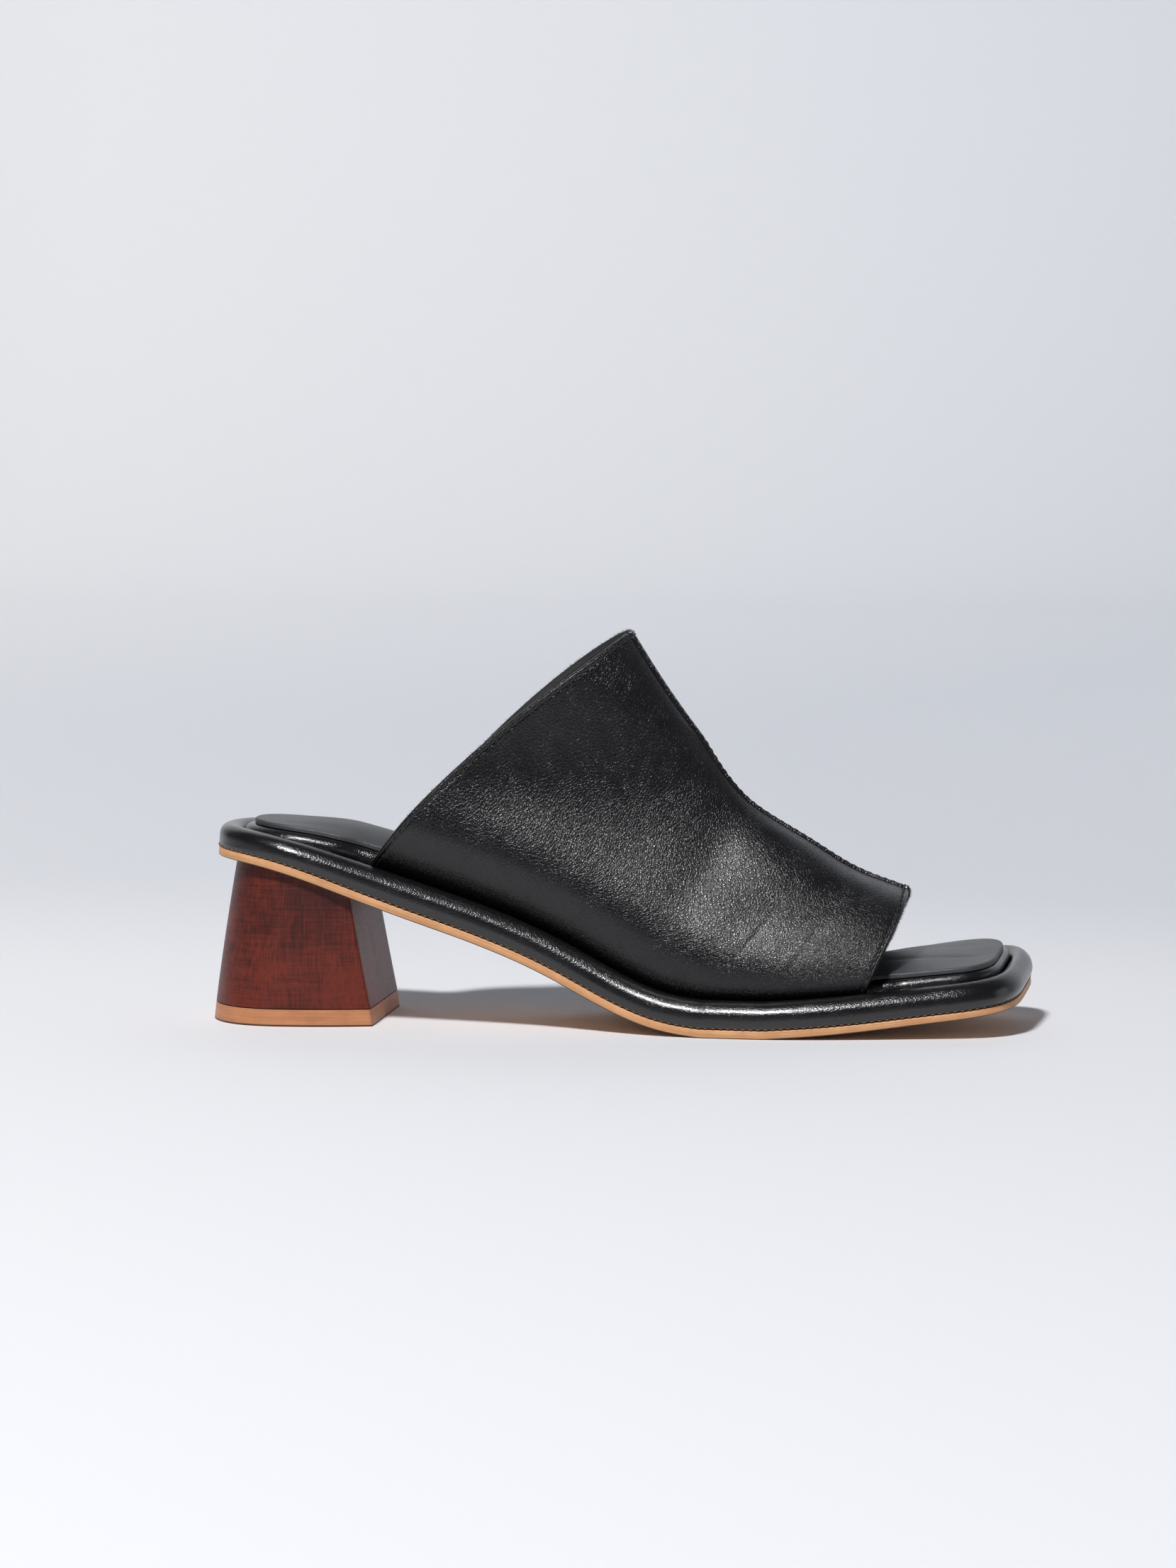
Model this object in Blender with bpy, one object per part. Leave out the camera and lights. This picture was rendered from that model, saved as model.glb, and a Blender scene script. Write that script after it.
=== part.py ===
"""Heeled mule, right foot: block heel, padded rim, footbed and one open-toed upper.

The shoe stands on z = 0 with its toe towards +X and its little-toe side towards -Y.
Sizes are real sizes in metres. Tables hold shares of the named sizes above them.
Along the sole a point is given as (along, side, above): the distance from the back of the
outsole, the distance from the heel's centre line, and the height square to the underside.
"""
import math

import bmesh
import bpy
from mathutils import Vector

MM = 0.001
LITTLE_TOE_SIDE = -1
BIG_TOE_SIDE = 1

# Fits between pieces
TOUCH_GAP = 0.3 * MM

# Outsole
SOLE_LENGTH = 251.0 * MM
HEEL_RISE = 50.9 * MM
TOE_SPRING = 10.3 * MM
TOE_TWIST = 0.066
SEAT_WIDTH = 58.0 * MM
WAIST_WIDTH = 58.0 * MM
BALL_WIDTH = 81.0 * MM
TOE_WIDTH = 74.0 * MM
TIP_WIDTH = 68.0 * MM
HEEL_ROUND = 29.0 * MM
TOE_ROUND = 28.0 * MM
HEEL_SQUARENESS = 2.15
TOE_SQUARENESS = 3.9
TOE_SKEW = 0.05
SKEW_LENGTH = 40.0 * MM
OUTSOLE_THICKNESS = 2.6 * MM
TOE_THICKNESS = 2.2 * MM
OUTSOLE_BEVEL = 0.4 * MM

# Padded rim around the sole
RIM_WIDTH = 9.0 * MM
RIM_HEIGHT = 8.4 * MM
RIM_BULGE = 0.9 * MM
RIM_TRAY = 3.6 * MM

# Footbed cushion and its sock
FOOTBED_HEIGHT = 14.4 * MM
FOOTBED_ROUND = 2.8 * MM
FOOTBED_CROWN = 2.2 * MM
SOCK_SETBACK = 2.8 * MM
SOCK_THICKNESS = 1.5 * MM
NOTCH_RAMP = 8.0 * MM
NOTCH_MARGIN = 4.0 * MM

# Upper
UPPER_WALL = 1.8 * MM
COLLAR_FOOT = 46.6 * MM
TOE_FOOT_SETBACK = 45.0 * MM
TOE_FOOT_LAG = 6.0 * MM
PEAK_AT = 128.6 * MM
PEAK_HEIGHT = 114.6 * MM
VAMP_SETBACK = 36.0 * MM
VAMP_HEIGHT = 36.9 * MM
CREST_SIDE = 0.5 * MM
COLLAR_BOW_OUTER = 4.1 * MM
COLLAR_BOW_INNER = 6.1 * MM
TOE_BOW_OUTER = 1.2 * MM
TOE_BOW_INNER = 6.0 * MM
COLLAR_SWELL = 0.42
TOE_SWELL = 0.15
SWELL_RISE = 0.08
COLLAR_SQUARENESS = 2.15
VAMP_SQUARENESS = 2.4
SEAM_LAP = 0.7 * MM
SEAM_LAP_WIDTH = 2.6 * MM

# Heel block and top piece
HEEL_BACK_LOW = -1.2 * MM
HEEL_BACK_HIGH = 6.1 * MM
BREAST_LOW = 52.1 * MM
BREAST_HIGH = 44.9 * MM
HEEL_WIDTH_LOW = 59.0 * MM
HEEL_WIDTH_HIGH = 53.0 * MM
BREAST_WIDTH_LOW = 51.0 * MM
BREAST_WIDTH_HIGH = 50.5 * MM
HEEL_BACK_ROUND = 25.0 * MM
HEEL_BACK_SQUARENESS = 2.3
HEEL_FLARE = 1.15
BREAST_CORNER = 0.8 * MM
TOP_PIECE_HEIGHT = 5.2 * MM

# Fineness of the faceted surfaces
HEEL_END_STEPS = 10
SIDE_STEPS = 24
TOE_END_STEPS = 10
CROWN_COLUMNS = 8
UPPER_SECTIONS = 20
ARCH_STEPS = 13

# Underside of the sole: along the length, share of the heel rise, share of the toe spring.
# The lowest stretch is cut off level with the floor and forms the flat spot of the forefoot.
UNDERSIDE = (
    (0.000, 1.000, 0.00),
    (0.030, 0.990, 0.00),
    (0.080, 0.950, 0.00),
    (0.170, 0.804, 0.00),
    (0.260, 0.646, 0.00),
    (0.345, 0.501, 0.00),
    (0.430, 0.323, 0.00),
    (0.500, 0.150, 0.00),
    (0.560, 0.042, 0.00),
    (0.600, 0.008, 0.00),
    (0.650, -0.008, 0.00),
    (0.700, 0.000, 0.01),
    (0.800, 0.000, 0.28),
    (0.900, 0.000, 0.67),
    (1.000, 0.000, 1.00),
)

# Outline of the sole: along the length, full width there, share of it on the little-toe side.
OUTLINE = (
    (0.00, SEAT_WIDTH, 0.500),
    (0.17, SEAT_WIDTH, 0.500),
    (0.43, WAIST_WIDTH, 0.540),
    (0.70, BALL_WIDTH, 0.495),
    (0.90, TOE_WIDTH, 0.465),
    (1.00, TIP_WIDTH, 0.450),
)

# Twist of the forefoot, which lifts its big-toe side: along the length, share of the twist.
TWIST = (
    (0.000, 0.00),
    (0.710, 0.00),
    (0.800, 0.26),
    (0.870, 0.56),
    (0.920, 0.80),
    (1.000, 1.00),
)

# Rim along the sole: along the length, share of its width, share of its height.
RIM = (
    (0.00, 0.76, 0.82),
    (0.08, 0.94, 0.84),
    (0.18, 1.00, 0.97),
    (0.50, 1.00, 1.00),
    (0.82, 1.00, 0.97),
    (0.93, 0.84, 0.94),
    (1.00, 0.56, 0.93),
)

# Footbed along the sole: share of its height, of its crown and of the sock's setback.
FOOTBED = (
    (0.00, 0.73, 1.10, 1.00),
    (0.06, 0.74, 1.10, 1.00),
    (0.13, 0.92, 1.35, 1.00),
    (0.18, 1.00, 1.60, 1.00),
    (0.30, 1.00, 1.70, 1.00),
    (0.60, 0.97, 1.10, 1.00),
    (0.85, 0.90, 1.15, 0.90),
    (0.93, 0.86, 1.15, 0.70),
    (1.00, 0.82, 1.15, 0.50),
)

# Section of the rim: share of its width inwards, bulge, share of its height.
RIM_SECTION = (
    (0.030, 0.00, 0.00),
    (0.000, 0.45, 0.10),
    (0.000, 1.00, 0.26),
    (0.005, 0.90, 0.44),
    (0.045, 0.45, 0.62),
    (0.120, 0.10, 0.78),
    (0.240, 0.00, 0.91),
    (0.400, 0.00, 0.985),
    (0.580, 0.00, 1.00),
    (0.780, 0.00, 0.94),
    (0.930, 0.00, 0.83),
    (1.000, 0.00, 0.70),
)

# Crest of the upper from the collar's peak to the toe opening: along, share of the drop left.
CREST = (
    (0.00, 1.000),
    (0.09, 0.842),
    (0.27, 0.567),
    (0.40, 0.397),
    (0.52, 0.276),
    (0.64, 0.186),
    (0.76, 0.107),
    (0.88, 0.047),
    (1.00, 0.000),
)

# Bow of the collar's edge: turn from foot to crest, little-toe side, big-toe side.
COLLAR_BOW = (
    (0.00, 0.00, 0.00),
    (0.06, 0.48, 0.42),
    (0.20, 0.95, 0.88),
    (0.35, 0.93, 1.00),
    (0.54, 0.52, 0.86),
    (0.73, 0.16, 0.50),
    (0.87, 0.02, 0.22),
    (1.00, 0.00, 0.00),
)

# Bow of the toe opening's edge towards the toe: turn from foot to crest, share of its size.
TOE_BOW = (
    (0.00, 0.00),
    (0.20, 0.50),
    (0.40, 0.90),
    (0.60, 1.00),
    (0.80, 0.75),
    (1.00, 0.00),
)

# Heel sections: share of the height.
HEEL_LEVELS = (0.0, 0.12, 0.28, 0.46, 0.64, 0.82, 1.0)

BLACK_LEATHER = ("black_leather", (0.012, 0.012, 0.013), 0.42)
SOCK_LEATHER = ("sock_leather", (0.020, 0.021, 0.023), 0.62)
TAN_LEATHER = ("tan_leather", (0.62, 0.33, 0.15), 0.55)
MAHOGANY = ("mahogany", (0.16, 0.035, 0.018), 0.38)
TOP_PIECE_TAN = ("top_piece_tan", (0.36, 0.19, 0.09), 0.55)


def clear_scene():
    for item in list(bpy.data.objects):
        bpy.data.objects.remove(item, do_unlink=True)


def finish_material(finish):
    name, colour, roughness = finish
    material = bpy.data.materials.get(name) or bpy.data.materials.new(name)
    material.use_nodes = True
    shader = material.node_tree.nodes["Principled BSDF"]
    shader.inputs["Base Color"].default_value = (*colour, 1.0)
    shader.inputs["Roughness"].default_value = roughness
    shader.inputs["Metallic"].default_value = 0.0
    return material


def column(rows, index):
    return [row[index] for row in rows]


def smooth_curve(places, values):
    """A natural cubic curve through a short table's rows, as a function of the place."""
    count = len(places)
    spans = [places[i + 1] - places[i] for i in range(count - 1)]
    bends = [0.0] * count
    upper = [0.0] * count
    partial = [0.0] * count
    for i in range(1, count - 1):
        turn = (values[i + 1] - values[i]) / spans[i] - (values[i] - values[i - 1]) / spans[i - 1]
        pivot = 2.0 * (spans[i - 1] + spans[i]) - spans[i - 1] * upper[i - 1]
        upper[i] = spans[i] / pivot
        partial[i] = (6.0 * turn - spans[i - 1] * partial[i - 1]) / pivot
    for i in range(count - 2, 0, -1):
        bends[i] = partial[i] - upper[i] * bends[i + 1]

    def at(place):
        i = 0
        while i < count - 2 and place > places[i + 1]:
            i += 1
        span = spans[i]
        before = (places[i + 1] - place) / span
        after = (place - places[i]) / span
        bend = (before ** 3 - before) * bends[i] + (after ** 3 - after) * bends[i + 1]
        return before * values[i] + after * values[i + 1] + bend * span ** 2 / 6.0

    return at


def smooth_step(share):
    share = min(max(share, 0.0), 1.0)
    return share * share * (3.0 - 2.0 * share)


def mix(first, second, share):
    return first + (second - first) * share


heel_rise_share = smooth_curve(column(UNDERSIDE, 0), column(UNDERSIDE, 1))
toe_spring_share = smooth_curve(column(UNDERSIDE, 0), column(UNDERSIDE, 2))
outline_width = smooth_curve(column(OUTLINE, 0), column(OUTLINE, 1))
outline_share = smooth_curve(column(OUTLINE, 0), column(OUTLINE, 2))
twist_share = smooth_curve(column(TWIST, 0), column(TWIST, 1))
rim_width_share = smooth_curve(column(RIM, 0), column(RIM, 1))
rim_height_share = smooth_curve(column(RIM, 0), column(RIM, 2))
footbed_height_share = smooth_curve(column(FOOTBED, 0), column(FOOTBED, 1))
footbed_crown_share = smooth_curve(column(FOOTBED, 0), column(FOOTBED, 2))
sock_setback_share = smooth_curve(column(FOOTBED, 0), column(FOOTBED, 3))
crest_share = smooth_curve(column(CREST, 0), column(CREST, 1))
bow_outer_share = smooth_curve(column(COLLAR_BOW, 0), column(COLLAR_BOW, 1))
bow_inner_share = smooth_curve(column(COLLAR_BOW, 0), column(COLLAR_BOW, 2))
toe_bow_share = smooth_curve(column(TOE_BOW, 0), column(TOE_BOW, 1))


def uncut_underside(along):
    share = along / SOLE_LENGTH
    return HEEL_RISE * heel_rise_share(share) + TOE_SPRING * toe_spring_share(share)


def underside(along):
    """Height of the outsole's underside above the floor."""
    return max(uncut_underside(along), 0.0)


def flat_spot():
    """Where the level stretch under the forefoot begins and ends."""
    step = SOLE_LENGTH / 2000.0
    low = [i * step for i in range(800, 1800) if uncut_underside(i * step) <= 0.0]
    return low[0], low[-1]


def twist(along):
    """Slope across the sole, level from the heel to the flat spot under the forefoot."""
    share = along / SOLE_LENGTH
    if share <= TWIST[1][0]:
        return 0.0
    return TOE_TWIST * twist_share(share)


def on_sole(along, side, above):
    """A point given along, across and square above the outsole's underside."""
    reach = 0.5 * MM
    rise = (underside(along + reach) - underside(along - reach)) / (2.0 * reach)
    length = math.sqrt(1.0 + rise * rise)
    height = underside(along) + twist(along) * side + above / length
    return Vector((along - above * rise / length, side, height))


def outsole_thickness(along):
    """The outsole is skived thinner towards the toe."""
    share = smooth_step((along / SOLE_LENGTH - 0.6) / 0.4)
    return mix(OUTSOLE_THICKNESS, TOE_THICKNESS, share)


def rim_base(along):
    return outsole_thickness(along) + TOUCH_GAP


def rim_width(along):
    return RIM_WIDTH * rim_width_share(along / SOLE_LENGTH)


def rim_height(along):
    return RIM_HEIGHT * rim_height_share(along / SOLE_LENGTH)


def half_width(along, side):
    """Distance from the centre line to the straight flank of the sole, without its round ends."""
    share = along / SOLE_LENGTH
    part = outline_share(share)
    if side == BIG_TOE_SIDE:
        part = 1.0 - part
    return outline_width(share) * part


def sole_stations():
    """Places along the sole with the share of the half width that its round ends leave."""
    stations = []
    for i in range(HEEL_END_STEPS + 1):
        turn = 0.5 * math.pi * i / HEEL_END_STEPS
        along = HEEL_ROUND * (1.0 - max(math.cos(turn), 0.0) ** (2.0 / HEEL_SQUARENESS))
        stations.append((along, math.sin(turn) ** (2.0 / HEEL_SQUARENESS)))
    straight_end = SOLE_LENGTH - TOE_ROUND
    for i in range(1, SIDE_STEPS):
        along = mix(HEEL_ROUND, straight_end, i / SIDE_STEPS)
        stations.append((along, 1.0))
    for i in range(TOE_END_STEPS + 1):
        turn = 0.5 * math.pi * i / TOE_END_STEPS
        along = straight_end + TOE_ROUND * math.sin(turn) ** (2.0 / TOE_SQUARENESS)
        stations.append((along, max(math.cos(turn), 0.0) ** (2.0 / TOE_SQUARENESS)))
    flat_start, flat_end = flat_spot()
    stations = snap(stations, flat_start)
    return snap(stations, flat_end)


def snap(stations, place):
    """Move the nearest station of the straight flank onto a given place."""
    nearest = min(range(len(stations)), key=lambda i: abs(stations[i][0] - place))
    stations[nearest] = (place, 1.0)
    return stations


def skewed(along, side):
    """The toe's front runs slightly forward towards the big toe."""
    share = smooth_step((along - (SOLE_LENGTH - SKEW_LENGTH)) / SKEW_LENGTH)
    return along + TOE_SKEW * share * side


def sole_outline():
    """The outsole's outline from the back, along the little-toe side, round the toe and back."""
    stations = sole_stations()
    little = []
    for along, share in stations:
        side = -half_width(along, LITTLE_TOE_SIDE) * share
        little.append((skewed(along, side), side))
    big = []
    for along, share in stations[1:-1]:
        side = half_width(along, BIG_TOE_SIDE) * share
        big.append((skewed(along, side), side))
    return little + big[::-1]


def inset(outline, depth):
    """The outline moved inwards by a depth, which may be a function of the place along it."""
    count = len(outline)
    moved = []
    for i in range(count):
        before = outline[i - 1]
        after = outline[(i + 1) % count]
        run = after[0] - before[0]
        rise = after[1] - before[1]
        length = math.hypot(run, rise)
        along, side = outline[i]
        amount = depth(along) if callable(depth) else depth
        moved.append((along - rise / length * amount, side + run / length * amount))
    return moved


def ring(outline, depth, above):
    """A ring round the sole; its height may also be a function of the place along it."""
    points = []
    for along, side in inset(outline, depth):
        points.append((along, side, above(along) if callable(above) else above))
    return points


def end_fade(along):
    """Falls to nothing at the two ends of the footbed, so that its crown runs out there."""
    from_end = min(along - RIM_WIDTH, SOLE_LENGTH - RIM_WIDTH - along)
    return smooth_step(from_end / HEEL_ROUND)


def flat(along):
    return 0.0


def footbed_crown(along):
    return FOOTBED_CROWN * footbed_crown_share(along / SOLE_LENGTH)


def cap_rungs(local, count, columns, crown):
    """Points across the shape between each pair of opposite outline points."""
    rungs = []
    for k in range(1, count // 2):
        first = local[k]
        last = local[count - k]
        rung = []
        for j in range(1, columns):
            share = j / columns
            along = mix(first[0], last[0], share)
            side = mix(first[1], last[1], share)
            above = mix(first[2], last[2], share)
            lift = crown(along) * (1.0 - (2.0 * share - 1.0) ** 2) * end_fade(along)
            rung.append((along, side, above + lift))
        rungs.append(rung)
    return rungs


def add_cap(mesh, loop, local, columns, crown):
    """Close a ring of the sole with faces that run across it."""
    count = len(loop)
    rows = []
    for k, rung in enumerate(cap_rungs(local, count, columns, crown), start=1):
        middle = [mesh.verts.new(on_sole(*point)) for point in rung]
        rows.append([loop[k]] + middle + [loop[count - k]])
    for first, second in zip(rows, rows[1:]):
        for j in range(columns):
            mesh.faces.new((first[j], first[j + 1], second[j + 1], second[j]))
    for tip, row in ((loop[0], rows[0]), (loop[count // 2], rows[-1])):
        for j in range(columns):
            mesh.faces.new((tip, row[j], row[j + 1]))


def bridge(mesh, first, second):
    count = len(first)
    for i in range(count):
        after = (i + 1) % count
        mesh.faces.new((first[i], first[after], second[after], second[i]))


def finished_object(name, mesh, finish, smooth_angle=40.0):
    bmesh.ops.recalc_face_normals(mesh, faces=mesh.faces[:])
    data = bpy.data.meshes.new(name)
    mesh.to_mesh(data)
    mesh.free()
    data.shade_smooth()
    data.set_sharp_from_angle(angle=math.radians(smooth_angle))
    data.materials.append(finish_material(finish))
    item = bpy.data.objects.new(name, data)
    bpy.context.scene.collection.objects.link(item)
    return item


def sole_layer(name, rings, finish, low_cap=(1, flat), high_cap=(1, flat)):
    """A solid made of rings around the sole, closed across its first and last ring."""
    mesh = bmesh.new()
    loops = []
    for points in rings:
        loops.append([mesh.verts.new(on_sole(*point)) for point in points])
    for first, second in zip(loops, loops[1:]):
        bridge(mesh, first, second)
    add_cap(mesh, loops[0], rings[0], *low_cap)
    add_cap(mesh, loops[-1], rings[-1], *high_cap)
    return finished_object(name, mesh, finish)


def make_outsole(outline):
    rings = [
        ring(outline, OUTSOLE_BEVEL, 0.0),
        ring(outline, 0.0, OUTSOLE_BEVEL),
        ring(outline, 0.0, outsole_thickness),
    ]
    return sole_layer("outsole", rings, TAN_LEATHER)


def make_rim(outline):
    """The wrapped midsole: a tray with a rounded, padded rim."""
    rings = []
    for inwards, bulge, height in RIM_SECTION:
        depth = rim_depth(inwards, bulge)
        rings.append(ring(outline, depth, rim_level(height)))
    rings.append(ring(outline, rim_width, tray_top))
    return sole_layer("midsole_rim", rings, BLACK_LEATHER)


def rim_depth(inwards, bulge):
    return lambda along: rim_width(along) * inwards - RIM_BULGE * bulge * bulge_share(along)


def rim_level(share):
    return lambda along: rim_base(along) + rim_height(along) * share


def bulge_share(along):
    """The rim stands proud of the outsole everywhere but round the heel."""
    return smooth_step((along - 0.2 * HEEL_ROUND) / HEEL_ROUND)


def groove_height(along):
    """Where the upper comes out between the rim and the footbed."""
    return rim_base(along) + rim_height(along) * 0.86


def tray_top(along):
    return rim_base(along) + RIM_TRAY


def tray_floor(along):
    return tray_top(along) + TOUCH_GAP


def toe_foot():
    return SOLE_LENGTH - TOE_FOOT_SETBACK


def footbed_inset(along):
    """The footbed stands back from the rim by the upper's wall, where the upper goes down."""
    start = COLLAR_FOOT - NOTCH_MARGIN - NOTCH_RAMP
    end = toe_foot() + NOTCH_MARGIN + NOTCH_RAMP
    enter = smooth_step((along - start) / NOTCH_RAMP)
    leave = smooth_step((end - along) / NOTCH_RAMP)
    return rim_width(along) + TOUCH_GAP + (UPPER_WALL + TOUCH_GAP) * min(enter, leave)


def footbed_height(along):
    return FOOTBED_HEIGHT * footbed_height_share(along / SOLE_LENGTH)


def sock_setback(along):
    return SOCK_SETBACK * sock_setback_share(along / SOLE_LENGTH)


def footbed_ring(outline, rounding, drop, base=None):
    """A ring of the footbed, in and down from its upper edge by shares of the rounding."""
    def depth(along):
        return footbed_inset(along) + rounding * footbed_round(along)

    def above(along):
        if base:
            return base(along) + drop * footbed_round(along)
        return footbed_height(along) - drop * footbed_round(along)

    return ring(outline, depth, above)


def footbed_round(along):
    """The rounding of the cushion's edge, no wider than the sock leaves bare."""
    return min(FOOTBED_ROUND, sock_setback(along))


def make_footbed(outline):
    rings = [
        footbed_ring(outline, 0.2, 0.0, base=tray_floor),
        footbed_ring(outline, 0.0, 0.2, base=tray_floor),
        footbed_ring(outline, 0.0, 1.0),
        footbed_ring(outline, 0.12, 0.5),
        footbed_ring(outline, 0.45, 0.15),
        footbed_ring(outline, 1.0, 0.0),
    ]
    return sole_layer("footbed", rings, BLACK_LEATHER, high_cap=(CROWN_COLUMNS, footbed_crown))


def sock_ring(outline, inwards, height):
    def depth(along):
        return footbed_inset(along) + sock_setback(along) + inwards

    def above(along):
        return footbed_height(along) + TOUCH_GAP + height

    return ring(outline, depth, above)


def make_sock(outline):
    bevel = 0.35 * SOCK_THICKNESS
    crown = (CROWN_COLUMNS, footbed_crown)
    rings = [
        sock_ring(outline, 0.0, 0.0),
        sock_ring(outline, 0.0, SOCK_THICKNESS - bevel),
        sock_ring(outline, bevel, SOCK_THICKNESS),
    ]
    return sole_layer("sock", rings, SOCK_LEATHER, low_cap=crown, high_cap=crown)


def foot_line(share, side, inwards, above):
    """The upper's foot in the groove, from the collar (0) to the toe opening (1)."""
    lag = TOE_FOOT_LAG if side == BIG_TOE_SIDE else 0.0
    along = mix(COLLAR_FOOT, toe_foot() - lag, share)
    reach = 1.0 * MM
    flank = half_width(along, side)
    slant = (half_width(along + reach, side) - half_width(along - reach, side)) / (2.0 * reach)
    depth = rim_width(along) + TOUCH_GAP + inwards
    width = flank - depth * math.sqrt(1.0 + slant * slant)
    return on_sole(along, side * width, above(along))


def crest_point(share):
    peak = Vector((PEAK_AT, CREST_SIDE, underside(PEAK_AT) + PEAK_HEIGHT))
    vamp_at = SOLE_LENGTH - VAMP_SETBACK
    vamp = Vector((vamp_at, CREST_SIDE, underside(vamp_at) + VAMP_HEIGHT))
    along = mix(PEAK_AT, vamp_at, share)
    return Vector((along, CREST_SIDE, mix(vamp.z, peak.z, crest_share(share))))


def upper_point(share, turn):
    """The upper's outer face: share from collar to toe, turn from -1 over 0 (crest) to 1."""
    side = LITTLE_TOE_SIDE if turn < 0.0 else BIG_TOE_SIDE
    raised = 1.0 - abs(turn)
    angle = 0.5 * math.pi * raised
    squareness = mix(COLLAR_SQUARENESS, VAMP_SQUARENESS, share)
    height = math.sin(angle) ** (2.0 / squareness)
    reach = max(math.cos(angle), 0.0) ** (2.0 / squareness)
    swell = 1.0 + mix(COLLAR_SWELL, TOE_SWELL, share) * (1.0 - math.exp(-height / SWELL_RISE))
    foot = foot_line(share, side, 0.0, groove_height)
    other = foot_line(share, -side, 0.0, groove_height)
    outer_foot = foot if side == LITTLE_TOE_SIDE else other
    middle = Vector((outer_foot.x, CREST_SIDE, 0.5 * (foot.z + other.z)))
    rise = crest_point(share) - middle
    back = Vector((-rise.z, 0.0, rise.x)).normalized()
    if side == LITTLE_TOE_SIDE:
        collar_bow = COLLAR_BOW_OUTER * bow_outer_share(raised)
        toe_bow = TOE_BOW_OUTER * toe_bow_share(raised)
    else:
        collar_bow = COLLAR_BOW_INNER * bow_inner_share(raised)
        toe_bow = TOE_BOW_INNER * toe_bow_share(raised)
    bow = collar_bow * (1.0 - share) ** 1.5 - toe_bow * share ** 3.0
    return middle + (foot - middle) * (reach * swell) + rise * height + back * bow


def upper_normal(share, turn):
    """Unit vector out of the upper's outer face."""
    step = 0.004
    low = max(share - step, 0.0)
    high = min(share + step, 1.0)
    left = max(turn - step, -1.0)
    right = min(turn + step, 1.0)
    forward = upper_point(high, turn) - upper_point(low, turn)
    across = upper_point(share, right) - upper_point(share, left)
    return forward.cross(across).normalized() * -1.0


def seam_turn(share):
    """Turn of the centre seam's lapped edge, which lies just on the little-toe side."""
    width = abs(upper_point(share, -0.12).y - CREST_SIDE)
    return -0.12 * SEAM_LAP_WIDTH * (1.0 - 0.7 * share) / width


def arch_turns(share):
    """Turns of one section of the upper, with two close ones that form the lapped seam."""
    seam = seam_turn(share)
    half_step = 0.004
    turns = [-1.0 + (1.0 + seam - half_step) * i / ARCH_STEPS for i in range(ARCH_STEPS + 1)]
    turns.append(seam + half_step)
    rest = 1.0 - seam - half_step
    turns.extend(seam + half_step + rest * i / ARCH_STEPS for i in range(1, ARCH_STEPS + 1))
    return turns


def lap_lift(share, turn):
    """The big-toe side's panel lies over the other by one turned edge, and settles beyond it."""
    if turn <= seam_turn(share):
        return 0.0
    return SEAM_LAP * (1.0 - smooth_step((turn - seam_turn(share)) / 0.4))


def upper_section(share):
    """Outer and inner points of one section, from one foot in the groove to the other."""
    outer = [foot_line(share, LITTLE_TOE_SIDE, 0.0, tray_floor)]
    inner = [foot_line(share, LITTLE_TOE_SIDE, UPPER_WALL, tray_floor)]
    turns = arch_turns(share)
    for turn in turns:
        point = upper_point(share, turn)
        normal = upper_normal(share, turn)
        if turn in (turns[0], turns[-1]):
            side = LITTLE_TOE_SIDE if turn < 0.0 else BIG_TOE_SIDE
            outer.append(point)
            inner.append(foot_line(share, side, UPPER_WALL, groove_height))
        else:
            outer.append(point + normal * lap_lift(share, turn))
            inner.append(point - normal * UPPER_WALL)
    outer.append(foot_line(share, BIG_TOE_SIDE, 0.0, tray_floor))
    inner.append(foot_line(share, BIG_TOE_SIDE, UPPER_WALL, tray_floor))
    return outer, inner


def make_upper():
    """One wall from the collar to the toe opening, open at both and underneath."""
    mesh = bmesh.new()
    sections = []
    for i in range(UPPER_SECTIONS + 1):
        outer, inner = upper_section(i / UPPER_SECTIONS)
        points = outer + inner[::-1]
        sections.append([mesh.verts.new(point) for point in points])
    for first, second in zip(sections, sections[1:]):
        bridge(mesh, first, second)
    for section in (sections[0], sections[-1]):
        count = len(section)
        for i in range(count // 2 - 1):
            j = count - 1 - i
            mesh.faces.new((section[i], section[i + 1], section[j - 1], section[j]))
    return finished_object("upper", mesh, BLACK_LEATHER)


def heel_section(share):
    """Outline of the heel at a share of the heel rise: from the back round to the back."""
    back = mix(HEEL_BACK_LOW, HEEL_BACK_HIGH, share ** HEEL_FLARE)
    breast = mix(BREAST_LOW, BREAST_HIGH, share)
    widest = 0.5 * mix(HEEL_WIDTH_LOW, HEEL_WIDTH_HIGH, share)
    narrow = 0.5 * mix(BREAST_WIDTH_LOW, BREAST_WIDTH_HIGH, share)
    power = 2.0 / HEEL_BACK_SQUARENESS
    half = []
    for i in range(9):
        turn = 0.5 * math.pi * i / 8
        along = back + HEEL_BACK_ROUND * (1.0 - max(math.cos(turn), 0.0) ** power)
        half.append((along, widest * math.sin(turn) ** power))
    flank = breast - BREAST_CORNER - half[-1][0]
    for i in range(1, 6):
        part = i / 5
        half.append((back + HEEL_BACK_ROUND + flank * part, mix(widest, narrow, part * part)))
    half.append((breast, narrow - BREAST_CORNER))
    little = [(along, -side) for along, side in half]
    big = [(along, side) for along, side in half[1:]]
    return little + big[::-1]


def heel_loop(mesh, outline, height):
    return [mesh.verts.new((along, side, height(along))) for along, side in outline]


def close_heel(mesh, loop):
    """Close a heel ring with faces that run across it."""
    count = len(loop)
    mesh.faces.new((loop[0], loop[1], loop[count - 1]))
    for k in range(1, (count - 1) // 2):
        mesh.faces.new((loop[k], loop[k + 1], loop[count - k - 1], loop[count - k]))


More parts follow.
